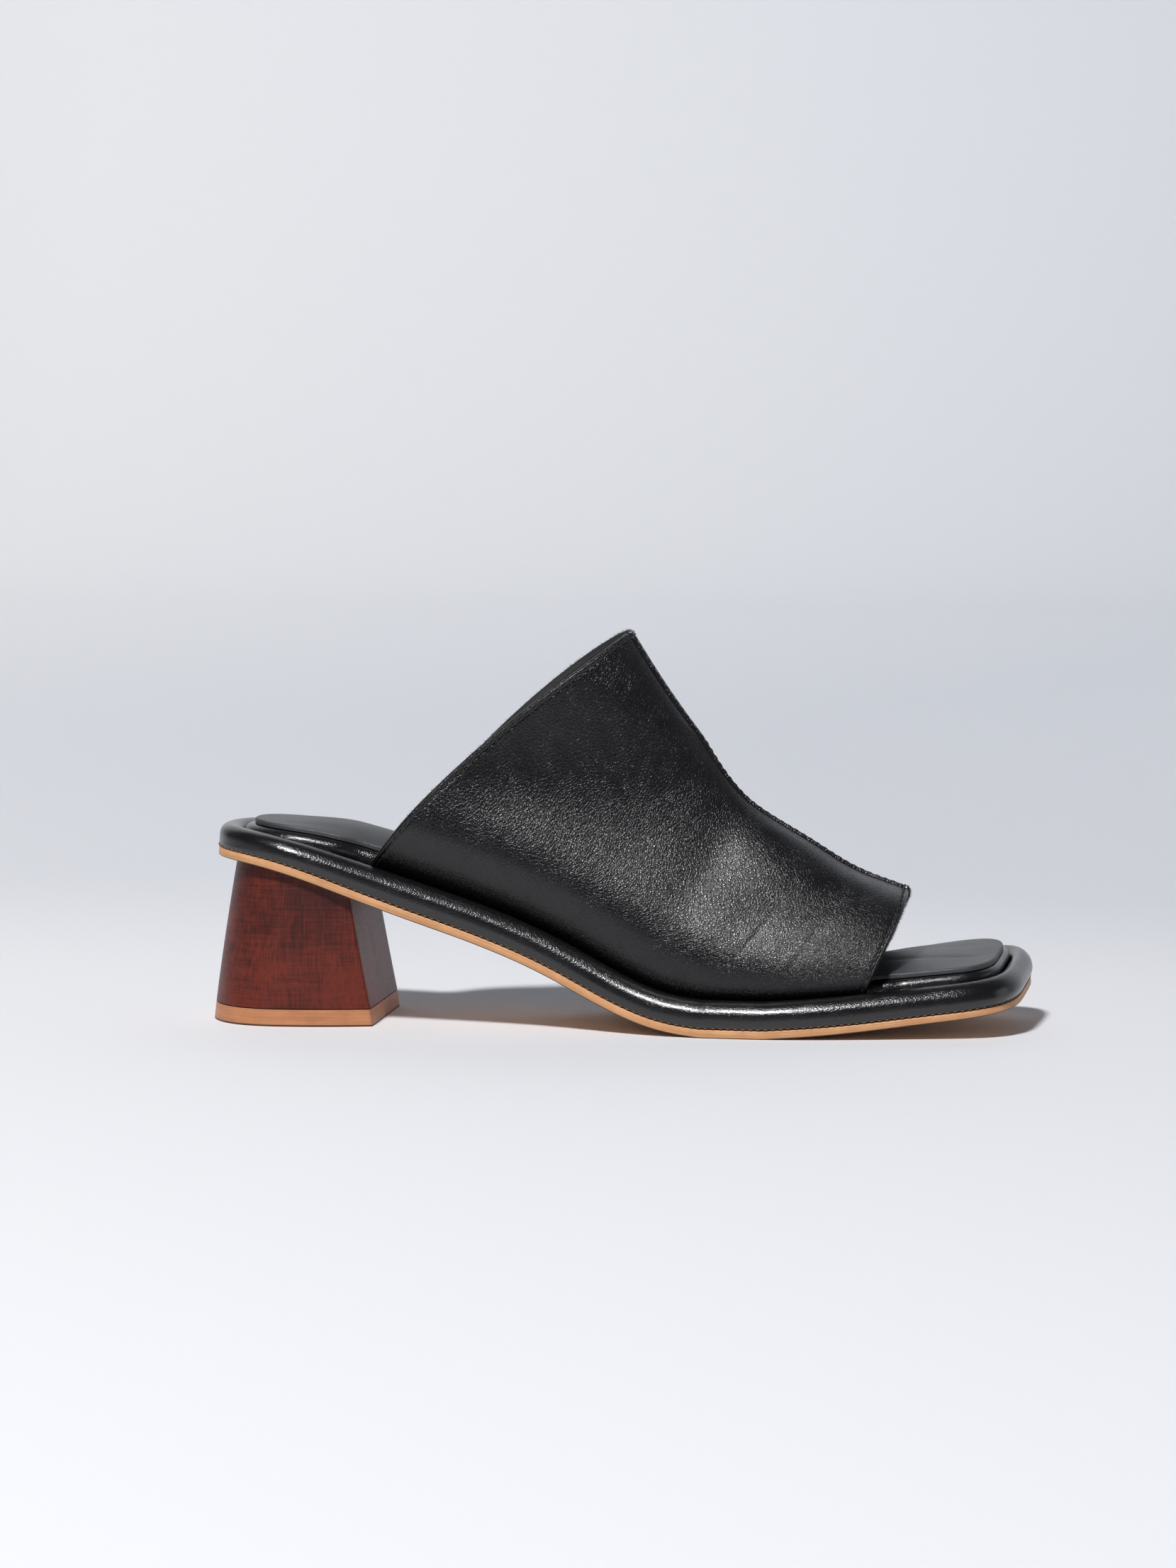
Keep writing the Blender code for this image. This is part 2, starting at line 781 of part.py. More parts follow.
def heel_block(name, levels, finish):
    """A solid of heel sections, each with its share of the rise and its height function."""
    mesh = bmesh.new()
    loops = [heel_loop(mesh, heel_section(share), height) for share, height in levels]
    for first, second in zip(loops, loops[1:]):
        bridge(mesh, first, second)
    close_heel(mesh, loops[0])
    close_heel(mesh, loops[-1])
    return finished_object(name, mesh, finish)


def make_heel():
    low = TOP_PIECE_HEIGHT + TOUCH_GAP
    levels = []
    for level in HEEL_LEVELS:
        share = mix(low / HEEL_RISE, 1.0, level)
        levels.append((share, lambda along, level=level: mix(low, seat_height(along), level)))
    return heel_block("heel", levels, MAHOGANY)


def seat_height(along):
    """Height of the heel's seat, just below the outsole."""
    return underside(along) - TOUCH_GAP


def make_top_piece():
    share = TOP_PIECE_HEIGHT / HEEL_RISE
    levels = [(0.0, lambda along: 0.0), (share, lambda along: TOP_PIECE_HEIGHT)]
    return heel_block("top_piece", levels, TOP_PIECE_TAN)


def stand_on_origin(pieces):
    """Carry the pieces on one empty that puts the middle of their box over the origin."""
    corners = [vertex.co for piece in pieces for vertex in piece.data.vertices]
    middle_x = 0.5 * (min(c.x for c in corners) + max(c.x for c in corners))
    middle_y = 0.5 * (min(c.y for c in corners) + max(c.y for c in corners))
    root = bpy.data.objects.new("shoe", None)
    bpy.context.scene.collection.objects.link(root)
    root.location = (-middle_x, -middle_y, -min(c.z for c in corners))
    for piece in pieces:
        piece.parent = root


def main():
    clear_scene()
    outline = sole_outline()
    pieces = [
        make_outsole(outline),
        make_rim(outline),
        make_footbed(outline),
        make_sock(outline),
        make_upper(),
        make_heel(),
        make_top_piece(),
    ]
    stand_on_origin(pieces)


main()
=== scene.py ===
"""Looks of the heeled mule: leather, thread, wood, studio and camera.

Everything is in metres. A point of the shoe is worked out in the shoe's own frame, whose zero
lies under the back of the outsole on the heel's centre line, and is then moved onto the frame.
Tables hold shares of the named sizes above them.
"""
import math
import random

import bmesh
import bpy
import numpy as np
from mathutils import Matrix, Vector


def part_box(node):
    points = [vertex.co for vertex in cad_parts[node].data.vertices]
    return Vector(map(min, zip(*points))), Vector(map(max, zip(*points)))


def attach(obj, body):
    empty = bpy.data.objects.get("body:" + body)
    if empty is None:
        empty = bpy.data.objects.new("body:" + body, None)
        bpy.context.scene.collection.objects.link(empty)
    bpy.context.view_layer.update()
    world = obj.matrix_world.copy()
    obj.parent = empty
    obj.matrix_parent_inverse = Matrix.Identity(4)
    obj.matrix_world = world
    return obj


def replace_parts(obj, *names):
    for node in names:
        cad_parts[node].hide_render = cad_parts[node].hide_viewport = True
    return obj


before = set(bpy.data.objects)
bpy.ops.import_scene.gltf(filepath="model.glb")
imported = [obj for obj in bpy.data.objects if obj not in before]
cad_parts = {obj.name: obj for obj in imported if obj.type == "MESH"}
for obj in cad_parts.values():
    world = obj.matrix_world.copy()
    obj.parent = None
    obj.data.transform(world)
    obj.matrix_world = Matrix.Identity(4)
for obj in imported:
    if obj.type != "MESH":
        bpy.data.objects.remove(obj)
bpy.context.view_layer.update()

MM = 0.001
LITTLE = -1.0
BIG = 1.0
TOUCH_GAP = 0.3 * MM

# Outsole
SOLE_LENGTH = 251.0 * MM
HEEL_RISE = 50.9 * MM
TOE_SPRING = 10.3 * MM
TOE_TWIST = 0.066
SEAT_WIDTH = 58.0 * MM
WAIST_WIDTH = 58.0 * MM
BALL_WIDTH = 81.0 * MM
TOE_WIDTH = 74.0 * MM
TIP_WIDTH = 68.0 * MM
HEEL_ROUND = 29.0 * MM
TOE_ROUND = 28.0 * MM
HEEL_SQUARENESS = 2.15
TOE_SQUARENESS = 3.9
TOE_SKEW = 0.05
SKEW_LENGTH = 40.0 * MM
OUTSOLE_THICKNESS = 2.6 * MM
TOE_THICKNESS = 2.2 * MM
OUTSOLE_BEVEL = 0.4 * MM

# Padded rim
RIM_WIDTH = 9.0 * MM
RIM_HEIGHT = 8.4 * MM
RIM_BULGE = 0.9 * MM
RIM_TRAY = 3.6 * MM

# Footbed cushion and sock
FOOTBED_HEIGHT = 14.4 * MM
FOOTBED_ROUND = 2.8 * MM
FOOTBED_CROWN = 2.2 * MM
SOCK_SETBACK = 2.8 * MM
SOCK_THICKNESS = 1.5 * MM
NOTCH_RAMP = 8.0 * MM
NOTCH_MARGIN = 4.0 * MM

# Upper
UPPER_WALL = 1.8 * MM
COLLAR_FOOT = 46.6 * MM
TOE_FOOT_SETBACK = 45.0 * MM
TOE_FOOT_LAG = 6.0 * MM
PEAK_AT = 128.6 * MM
PEAK_HEIGHT = 114.6 * MM
VAMP_SETBACK = 36.0 * MM
VAMP_HEIGHT = 36.9 * MM
CREST_SIDE = 0.5 * MM
COLLAR_BOW_OUTER = 4.1 * MM
COLLAR_BOW_INNER = 6.1 * MM
TOE_BOW_OUTER = 1.2 * MM
TOE_BOW_INNER = 3.4 * MM
COLLAR_SWELL = 0.42
TOE_SWELL = 0.15
SWELL_RISE = 0.08
COLLAR_SQUARENESS = 2.15
VAMP_SQUARENESS = 2.4
SEAM_LAP = 0.7 * MM
SEAM_LAP_WIDTH = 2.6 * MM

# Heel block and top piece
HEEL_BACK_LOW = -1.2 * MM
HEEL_BACK_HIGH = 6.1 * MM
BREAST_LOW = 52.1 * MM
BREAST_HIGH = 44.9 * MM
HEEL_WIDTH_LOW = 59.0 * MM
HEEL_WIDTH_HIGH = 53.0 * MM
BREAST_WIDTH_LOW = 51.0 * MM
BREAST_WIDTH_HIGH = 50.5 * MM
HEEL_BACK_ROUND = 25.0 * MM
HEEL_BACK_SQUARENESS = 2.3
HEEL_FLARE = 1.15
BREAST_CORNER = 0.8 * MM
TOP_PIECE_HEIGHT = 5.2 * MM

# Underside of the sole: along the length, share of the heel rise, share of the toe spring.
UNDERSIDE = (
    (0.0, 1.0, 0.0), (0.03, 0.99, 0.0), (0.08, 0.95, 0.0), (0.17, 0.804, 0.0), (0.26, 0.646, 0.0),
    (0.345, 0.501, 0.0), (0.43, 0.323, 0.0), (0.5, 0.15, 0.0), (0.56, 0.042, 0.0),
    (0.6, 0.008, 0.0), (0.65, -0.008, 0.0), (0.7, 0.0, 0.01), (0.8, 0.0, 0.28), (0.9, 0.0, 0.67),
    (1.0, 0.0, 1.0),
)

# Outline of the sole: along the length, full width there, share of it on the little-toe side.
OUTLINE = (
    (0.00, SEAT_WIDTH, 0.500),
    (0.17, SEAT_WIDTH, 0.500),
    (0.43, WAIST_WIDTH, 0.540),
    (0.70, BALL_WIDTH, 0.495),
    (0.90, TOE_WIDTH, 0.465),
    (1.00, TIP_WIDTH, 0.450),
)

# Twist of the forefoot, which lifts its big-toe side: along the length, share of the twist.
TWIST = (
    (0.0, 0.0), (0.71, 0.0), (0.8, 0.26), (0.87, 0.56), (0.92, 0.8), (1.0, 1.0),
)

# Rim along the sole: along the length, share of its width, share of its height.
RIM = (
    (0.0, 0.76, 0.82), (0.08, 0.94, 0.84), (0.18, 1.0, 0.97), (0.5, 1.0, 1.0), (0.82, 1.0, 0.97),
    (0.93, 0.84, 0.94), (1.0, 0.56, 0.93),
)

# Footbed along the sole: share of its height, of its crown and of the sock's setback.
FOOTBED = (
    (0.0, 0.73, 1.1, 1.0), (0.06, 0.74, 1.1, 1.0), (0.13, 0.92, 1.35, 1.0), (0.18, 1.0, 1.6, 1.0),
    (0.3, 1.0, 1.7, 1.0), (0.6, 0.97, 1.1, 1.0), (0.85, 0.9, 1.15, 0.9), (0.93, 0.86, 1.15, 0.7),
    (1.0, 0.82, 1.15, 0.5),
)

# Section of the rim: share of its width inwards, bulge, share of its height.
RIM_SECTION = (
    (0.03, 0.0, 0.0), (0.0, 0.45, 0.1), (0.0, 1.0, 0.26), (0.0, 0.95, 0.44), (0.01, 0.75, 0.6),
    (0.05, 0.35, 0.74), (0.13, 0.08, 0.86), (0.26, 0.0, 0.95), (0.42, 0.0, 1.0), (0.6, 0.0, 0.99),
    (0.8, 0.0, 0.93), (0.94, 0.0, 0.83), (1.0, 0.0, 0.7),
)

# Crest of the upper from the collar's peak to the toe opening: along, share of the drop left.
CREST = (
    (0.0, 1.0), (0.09, 0.842), (0.27, 0.567), (0.4, 0.397), (0.52, 0.276), (0.64, 0.186),
    (0.76, 0.107), (0.88, 0.047), (1.0, 0.0),
)

# Bow of the collar's edge: turn from foot to crest, little-toe side, big-toe side.
COLLAR_BOW = (
    (0.0, 0.0, 0.0), (0.06, 0.48, 0.42), (0.2, 0.95, 0.88), (0.35, 0.93, 1.0), (0.54, 0.52, 0.86),
    (0.73, 0.16, 0.5), (0.87, 0.02, 0.22), (1.0, 0.0, 0.0),
)

# Bow of the toe opening's edge towards the toe: turn from foot to crest, share of its size.
TOE_BOW = (
    (0.0, 0.0), (0.2, 0.5), (0.4, 0.9), (0.6, 1.0), (0.8, 0.75), (1.0, 0.0),
)


def curve(rows, index):
    """A natural cubic curve through one column of a table, for arrays of places."""
    x = np.array([row[0] for row in rows])
    y = np.array([row[index] for row in rows])
    n = len(x)
    h = np.diff(x)
    matrix = np.eye(n)
    right = np.zeros(n)
    for i in range(1, n - 1):
        matrix[i, i - 1:i + 2] = (h[i - 1], 2.0 * (h[i - 1] + h[i]), h[i])
        right[i] = 6.0 * ((y[i + 1] - y[i]) / h[i] - (y[i] - y[i - 1]) / h[i - 1])
    bend = np.linalg.solve(matrix, right)

    def at(place):
        place = np.asarray(place, float)
        i = np.clip(np.searchsorted(x, place) - 1, 0, n - 2)
        before = (x[i + 1] - place) / h[i]
        after = (place - x[i]) / h[i]
        cubic = (before ** 3 - before) * bend[i] + (after ** 3 - after) * bend[i + 1]
        return before * y[i] + after * y[i + 1] + cubic * h[i] ** 2 / 6.0

    return at


def smooth_step(share):
    share = np.clip(share, 0.0, 1.0)
    return share * share * (3.0 - 2.0 * share)


def mix(first, second, share):
    return first + (second - first) * share


def running(steps):
    """The sums of the steps so far, from zero."""
    return np.concatenate([[0.0], np.cumsum(steps)])


def unit(vectors):
    return vectors / np.maximum(np.linalg.norm(vectors, axis=-1, keepdims=True), 1e-12)


heel_rise_share = curve(UNDERSIDE, 1)
toe_spring_share = curve(UNDERSIDE, 2)
outline_width = curve(OUTLINE, 1)
outline_share = curve(OUTLINE, 2)
twist_share = curve(TWIST, 1)
crest_share = curve(CREST, 1)
bow_outer_share = curve(COLLAR_BOW, 1)
bow_inner_share = curve(COLLAR_BOW, 2)
toe_bow_share = curve(TOE_BOW, 1)


def along_sole(size, table, index):
    """A size that changes along the sole by one column of a table."""
    share = curve(table, index)
    return lambda along: size * share(along / SOLE_LENGTH)


rim_width = along_sole(RIM_WIDTH, RIM, 1)
rim_height = along_sole(RIM_HEIGHT, RIM, 2)
footbed_height = along_sole(FOOTBED_HEIGHT, FOOTBED, 1)
footbed_crown = along_sole(FOOTBED_CROWN, FOOTBED, 2)
sock_setback = along_sole(SOCK_SETBACK, FOOTBED, 3)


def underside(along):
    share = along / SOLE_LENGTH
    height = HEEL_RISE * heel_rise_share(share) + TOE_SPRING * toe_spring_share(share)
    return np.maximum(height, 0.0)


def twist(along):
    share = along / SOLE_LENGTH
    return np.where(share <= TWIST[1][0], 0.0, TOE_TWIST * twist_share(share))


def on_sole(along, side, above):
    """Points given along, across and square above the outsole's underside."""
    along, side, above = np.broadcast_arrays(along, side, above)
    reach = 0.5 * MM
    rise = (underside(along + reach) - underside(along - reach)) / (2.0 * reach)
    length = np.sqrt(1.0 + rise * rise)
    height = underside(along) + twist(along) * side + above / length
    return np.stack([along - above * rise / length, side, height], -1)


def outsole_thickness(along):
    return mix(OUTSOLE_THICKNESS, TOE_THICKNESS, smooth_step((along / SOLE_LENGTH - 0.6) / 0.4))


def rim_base(along):
    return outsole_thickness(along) + TOUCH_GAP


def bulge_share(along):
    return smooth_step((along - 0.2 * HEEL_ROUND) / HEEL_ROUND)


def groove_height(along):
    return rim_base(along) + rim_height(along) * 0.86


def tray_top(along):
    return rim_base(along) + RIM_TRAY


def tray_floor(along):
    return tray_top(along) + TOUCH_GAP


def toe_foot():
    return SOLE_LENGTH - TOE_FOOT_SETBACK


def footbed_inset(along):
    enter = smooth_step((along - (COLLAR_FOOT - NOTCH_MARGIN - NOTCH_RAMP)) / NOTCH_RAMP)
    leave = smooth_step((toe_foot() + NOTCH_MARGIN + NOTCH_RAMP - along) / NOTCH_RAMP)
    return rim_width(along) + TOUCH_GAP + (UPPER_WALL + TOUCH_GAP) * np.minimum(enter, leave)


def half_width(along, side):
    share = along / SOLE_LENGTH
    part = outline_share(share)
    part = np.where(np.asarray(side) > 0.0, 1.0 - part, part)
    return outline_width(share) * part


def slanted(along, side):
    """How much longer a step inwards is across the shoe than square to the outline."""
    reach = 1.0 * MM
    slant = (half_width(along + reach, side) - half_width(along - reach, side)) / (2.0 * reach)
    return np.sqrt(1.0 + slant * slant)


class Round:
    """The way round the sole: stations from the back, along the little-toe side and back."""

    END_STEPS = 34
    SIDE_STEPS = 150

    def __init__(self):
        ends = self.END_STEPS + 1
        turn = 0.5 * np.pi * np.arange(ends) / self.END_STEPS
        inner = np.arange(1, self.SIDE_STEPS) / self.SIDE_STEPS
        heel = np.maximum(1.0 - np.cos(turn) ** (2.0 / HEEL_SQUARENESS), 0.0)
        toe = np.sin(turn) ** (2.0 / TOE_SQUARENESS)
        self.heel_part = np.concatenate([heel, np.ones(len(inner) + ends)])
        self.toe_part = np.concatenate([np.zeros(ends + len(inner)), toe])
        share = np.concatenate([np.zeros(ends), inner, np.ones(ends)])
        self.straight = mix(HEEL_ROUND, SOLE_LENGTH - TOE_ROUND, share)
        self.width_part = np.concatenate([
            np.sin(turn) ** (2.0 / HEEL_SQUARENESS),
            np.ones(len(inner)),
            np.maximum(np.cos(turn), 0.0) ** (2.0 / TOE_SQUARENESS),
        ])
        self.width_part[-1] = 0.0
        self.count = 2 * len(self.heel_part) - 2

    def along(self, amount):
        """Places along the sole when the outline is moved inwards by an amount."""
        back = (HEEL_ROUND - amount) * (1.0 - self.heel_part)
        return self.straight - back + (TOE_ROUND - amount) * self.toe_part

    def ring(self, depth):
        """The outline moved inwards; the depth may depend on the place along the sole."""
        outer = self.along(0.0)
        amount = depth(outer) if callable(depth) else depth
        along = self.along(amount)
        sides = []
        for side in (LITTLE, BIG):
            wide = half_width(outer, side) - amount * slanted(outer, side)
            sides.append(side * wide * self.width_part)
        whole_along = np.concatenate([along, along[-2:0:-1]])
        whole_side = np.concatenate([sides[0], sides[1][-2:0:-1]])
        share = smooth_step((whole_along - (SOLE_LENGTH - SKEW_LENGTH)) / SKEW_LENGTH)
        return whole_along + TOE_SKEW * share * whole_side, whole_side


class Patches:
    """Collects grids of points into one mesh with texture coordinates in metres."""

    def __init__(self):
        self.points = []
        self.faces = []
        self.coordinates = []
        self.slots = []
        self.total = 0

    def grid(self, points, coordinates, closed=False, slot=0):
        """points: rows x columns x 3; coordinates: one more column than points if closed."""
        rows, columns = points.shape[:2]
        index = self.total + np.arange(rows * columns).reshape(rows, columns)
        if closed:
            index = np.concatenate([index, index[:, :1]], 1)
        quads = np.stack([index[:-1, :-1], index[:-1, 1:], index[1:, 1:], index[1:, :-1]], -1)
        corners = np.stack([
            coordinates[:-1, :-1], coordinates[:-1, 1:], coordinates[1:, 1:], coordinates[1:, :-1],
        ], 2)
        self.points.append(points.reshape(-1, 3))
        self.faces.append(quads.reshape(-1, 4))
        self.coordinates.append(corners.reshape(-1, 2))
        self.slots.append(np.full(quads.shape[0] * quads.shape[1], slot))
        self.total += rows * columns

    def build(self, name, materials, slot, sharp=50.0):
        points = np.concatenate(self.points) + shoe_origin
        faces = np.concatenate(self.faces)
        data = bpy.data.meshes.new(name)
        data.from_pydata(points.tolist(), [], faces.tolist())
        layer = data.uv_layers.new(name="surface")
        layer.data.foreach_set("uv", np.concatenate(self.coordinates).astype(np.float32).ravel())
        data.polygons.foreach_set("material_index", np.concatenate(self.slots).astype(np.int32))
        mesh = bmesh.new()
        mesh.from_mesh(data)
        bmesh.ops.remove_doubles(mesh, verts=mesh.verts[:], dist=2e-6)
        bmesh.ops.dissolve_degenerate(mesh, dist=1e-7, edges=mesh.edges[:])
        bmesh.ops.recalc_face_normals(mesh, faces=mesh.faces[:])
        mesh.to_mesh(data)
        mesh.free()
        data.shade_smooth()
        data.set_sharp_from_angle(angle=math.radians(sharp))
        for material in materials:
            data.materials.append(material)
        return place(name, data, slot)


def add_object(name, data):
    item = bpy.data.objects.new(name, data)
    bpy.context.scene.collection.objects.link(item)
    return item


def place(name, data, slot):
    item = add_object(name, data)
    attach(item, "root")
    return item


# The shoe's own zero in the frame, read from the top piece.
tip_low, tip_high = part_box("top_piece")
shoe_origin = np.array([tip_low.x - HEEL_BACK_LOW, 0.5 * (tip_low.y + tip_high.y), 0.0])


# Nodes

def node(tree, kind, **values):
    made = tree.nodes.new(kind)
    for name, value in values.items():
        if name.startswith("set_"):
            setattr(made, name[4:], value)
        else:
            made.inputs[name.replace("_", " ")].default_value = value
    return made


def join(tree, source, socket, target, name):
    tree.links.new(source.outputs[socket], target.inputs[name])


def feed(tree, source, target, name):
    join(tree, *source, target, name)


def maths(tree, operation, first, second=None):
    """A Math node on two inputs, each a number or (node, socket)."""
    made = tree.nodes.new("ShaderNodeMath")
    made.operation = operation
    for i, value in enumerate((first, second)):
        if isinstance(value, tuple):
            feed(tree, value, made, i)
        elif value is not None:
            made.inputs[i].default_value = value
    return made, "Value"


def ramp(tree, source, stops, smooth=True):
    made = tree.nodes.new("ShaderNodeValToRGB")
    made.color_ramp.interpolation = "EASE" if smooth else "LINEAR"
    elements = made.color_ramp.elements
    while len(elements) < len(stops):
        elements.new(0.5)
    for element, (place_at, colour) in zip(elements, stops):
        element.position = place_at
        element.color = (*colour, 1.0) if isinstance(colour, tuple) else (colour, colour, colour, 1.0)
    feed(tree, source, made, "Fac")
    return made, "Color"


def new_material(name):
    material = bpy.data.materials.new(name)
    material.use_nodes = True
    tree = material.node_tree
    return material, tree, tree.nodes["Principled BSDF"]


def surface_coordinates(tree, scale, turn=0.0, stretch=1.0):
    """The mesh's own coordinates in metres, turned, then scaled to cells and stretched."""
    source = node(tree, "ShaderNodeUVMap", set_uv_map="surface")
    turned = node(tree, "ShaderNodeMapping", Rotation=(0.0, 0.0, turn))
    join(tree, source, "UV", turned, "Vector")
    scaled = node(tree, "ShaderNodeMapping", Scale=(scale / stretch, scale, scale))
    join(tree, turned, "Vector", scaled, "Vector")
    return scaled, "Vector"


def object_coordinates(tree, scale):
    source = node(tree, "ShaderNodeTexCoord")
    scaled = node(tree, "ShaderNodeMapping", Scale=scale)
    join(tree, source, "Object", scaled, "Vector")
    return scaled, "Vector"


def noise(tree, vector, scale, detail=2.0, roughness=0.5, distortion=0.0):
    made = node(tree, "ShaderNodeTexNoise", Scale=scale, Detail=detail, Roughness=roughness,
                Distortion=distortion)
    feed(tree, vector, made, "Vector")
    return made, "Fac"


def cells(tree, vector):
    """Distance to the nearest border between cells that are one unit wide."""
    made = node(tree, "ShaderNodeTexVoronoi", set_feature="DISTANCE_TO_EDGE", Scale=1.0)
    feed(tree, vector, made, "Vector")
    return made, "Distance"


def bent(tree, vector, amount):
    """Coordinates pushed about by a soft noise, so that cells lose their straight sides."""
    wander = node(tree, "ShaderNodeTexNoise", Scale=0.8, Detail=2.0)
    feed(tree, vector, wander, "Vector")
    centred = node(tree, "ShaderNodeVectorMath", set_operation="SUBTRACT")
    join(tree, wander, "Color", centred, 0)
    centred.inputs[1].default_value = (0.5, 0.5, 0.5)
    scaled = node(tree, "ShaderNodeVectorMath", set_operation="SCALE", Scale=amount)
    join(tree, centred, "Vector", scaled, 0)
    added = node(tree, "ShaderNodeVectorMath", set_operation="ADD")
    feed(tree, vector, added, 0)
    join(tree, scaled, "Vector", added, 1)
    return added, "Vector"


def mixed(tree, factor, first, second, kind="FLOAT"):
    """A Mix node; each input is a number, a colour or (node, socket)."""
    made = node(tree, "ShaderNodeMix", set_data_type=kind)
    offset = {"FLOAT": 2, "RGBA": 6}[kind]
    for index, value in ((0, factor), (offset, first), (offset + 1, second)):
        if isinstance(value, tuple) and isinstance(value[0], bpy.types.Node):
            feed(tree, value, made, index)
        elif isinstance(value, tuple):
            made.inputs[index].default_value = (*value, 1.0)
        else:
            made.inputs[index].default_value = value
    return made, {"FLOAT": 0, "RGBA": 2}[kind]


def bump(tree, height, strength, distance, shader):
    made = node(tree, "ShaderNodeBump", Strength=strength, Distance=distance)
    feed(tree, height, made, "Height")
    join(tree, made, "Normal", shader, "Normal")


def weighed(tree, *parts):
    """The sum of sources, each times its weight."""
    total = maths(tree, "MULTIPLY", *parts[0])
    for source, weight in parts[1:]:
        total = maths(tree, "ADD", total, maths(tree, "MULTIPLY", source, weight))
    return total


def components(tree, vector):
    spot = node(tree, "ShaderNodeSeparateXYZ")
    feed(tree, vector, spot, "Vector")
    return spot


def dress(tree, shader, colour, rough, specular=0.5):
    """Colour and roughness of a surface, both as sources, and how strongly it mirrors."""
    feed(tree, colour, shader, "Base Color")
    feed(tree, rough, shader, "Roughness")
    shader.inputs["Specular IOR Level"].default_value = specular


def pebbled_leather(name, grain, turn, stretch, rough, depth, specular):
    """Black leather: raised pebbles with shiny tops, dull valleys between them."""
    material, tree, shader = new_material(name)
    where = surface_coordinates(tree, 1.0 / grain, turn, stretch)
    top = ramp(tree, cells(tree, bent(tree, where, 0.9)), ((0.0, 0.0), (0.16, 0.55), (0.5, 1.0)))
    fine = noise(tree, where, 2.4, 2.0, 0.6)
    wide = noise(tree, where, 0.09, 3.0, 0.55)
    patchy = ramp(tree, wide, ((0.3, 0.6), (0.7, 1.0)))
    height = weighed(tree, (maths(tree, "MULTIPLY", top, patchy), 1.0), (fine, 0.5))
    bump(tree, height, 1.0, depth, shader)
    gloss = mixed(tree, top, rough + 0.10, rough - 0.02)
    worn = maths(tree, "ADD", gloss, mixed(tree, wide, -0.05, 0.05))
    dress(tree, shader, mixed(tree, top, BLACK, WORN_BLACK, "RGBA"), worn, specular)
    return material


def smooth_leather(name, colour, pale, rough, specular):
    """Fine, nearly smooth leather with faint pores and a soft cloudiness."""
    material, tree, shader = new_material(name)
    where = surface_coordinates(tree, 1.0 / PORE_SIZE)
    top = ramp(tree, cells(tree, bent(tree, where, 0.7)), ((0.0, 0.0), (0.25, 0.8), (0.6, 1.0)))
    cloud = noise(tree, where, 0.02, 4.0, 0.6)
    fine = noise(tree, where, 0.9, 3.0, 0.6)
    bump(tree, weighed(tree, (top, 1.0), (fine, 0.6)), 1.0, PORE_DEPTH, shader)
    uneven = mixed(tree, cloud, rough + 0.06, rough - 0.06)
    dress(tree, shader, mixed(tree, cloud, colour, pale, "RGBA"), uneven, specular)
    return material


def edge_leather(name, light, dark, rough, band):
    """Cut leather edge: faint lines along it, pores, a dark foot of painted shade and a deeper band above
    it.
    """
    material, tree, shader = new_material(name)
    where = surface_coordinates(tree, 1.0 / MM)
    lines = node(tree, "ShaderNodeMapping", Scale=(0.03, 2.6, 1.0))
    feed(tree, where, lines, "Vector")
    streak = noise(tree, (lines, "Vector"), 1.0, 3.0, 0.6)
    cloud = noise(tree, where, 0.12, 3.0, 0.6)
    pore = noise(tree, where, 2.2, 2.0, 0.6)
    shade = ramp(tree, weighed(tree, (streak, 0.6), (cloud, 0.4)), ((0.35, 0.0), (0.65, 1.0)))
    plain = mixed(tree, shade, dark, light, "RGBA")
    above = maths(tree, "MULTIPLY", (components(tree, where), "Y"), 0.25)
    lower = ramp(tree, above, ((band - 0.04, 0.55), (band, 0.0)))
    banded = mixed(tree, lower, plain, dark, "RGBA")
    # The dark foot is painted shade under the edge; on the top piece it also stands for its darker tip at
    # the floor.
    foot = ramp(tree, above, ((0.11, 0.92), (0.16, 0.0)))
    uneven = mixed(tree, pore, rough - 0.05, rough + 0.1)
    dress(tree, shader, mixed(tree, foot, banded, EDGE_FOOT_SHADE_AND_TIP, "RGBA"), uneven)
    bump(tree, weighed(tree, (streak, 1.0), (pore, 0.4)), 0.6, 0.08 * MM, shader)
    return material


def stained_wood(name, deep, warm, rough):
    """Red-brown stained wood: blotches, upright grain, fine lines across it, and painted shade: darker up
    under the sole, lighter low down.
    """
    material, tree, shader = new_material(name)
    cloud = noise(tree, object_coordinates(tree, (60.0, 60.0, 45.0)), 1.0, 3.0, 0.55, 0.6)
    grain = noise(tree, object_coordinates(tree, (1900.0, 1900.0, 60.0)), 1.0, 3.0, 0.6)
    across = noise(tree, object_coordinates(tree, (90.0, 90.0, 1700.0)), 1.0, 3.0, 0.6)
    fleck = noise(tree, object_coordinates(tree, (900.0, 900.0, 500.0)), 1.0, 2.0, 0.7)
    lines = weighed(tree, (grain, 0.55), (across, 0.45))
    spot = components(tree, object_coordinates(tree, (1.0, 1.0, 1.0 / WOOD_SPAN)))
    # Painted shade: the wood is lighter low down and darker up under the sole.
    low = ramp(tree, (spot, "Z"), ((0.15, 0.09), (0.85, 0.0)))
    tone = weighed(tree, (lines, 0.6), (cloud, 0.4), (low, 1.0))
    colour = mixed(tree, ramp(tree, tone, ((0.42, 0.0), (0.66, 1.0))), deep, warm, "RGBA")
    dark = ramp(tree, fleck, ((0.52, 0.0), (0.70, 0.35)))
    uneven = mixed(tree, lines, rough + 0.08, rough - 0.05)
    dress(tree, shader, mixed(tree, dark, colour, WOOD_FLECK, "RGBA"), uneven, 0.4)
    bump(tree, weighed(tree, (lines, 1.0), (fleck, 0.3)), 0.6, 0.08 * MM, shader)
    return material


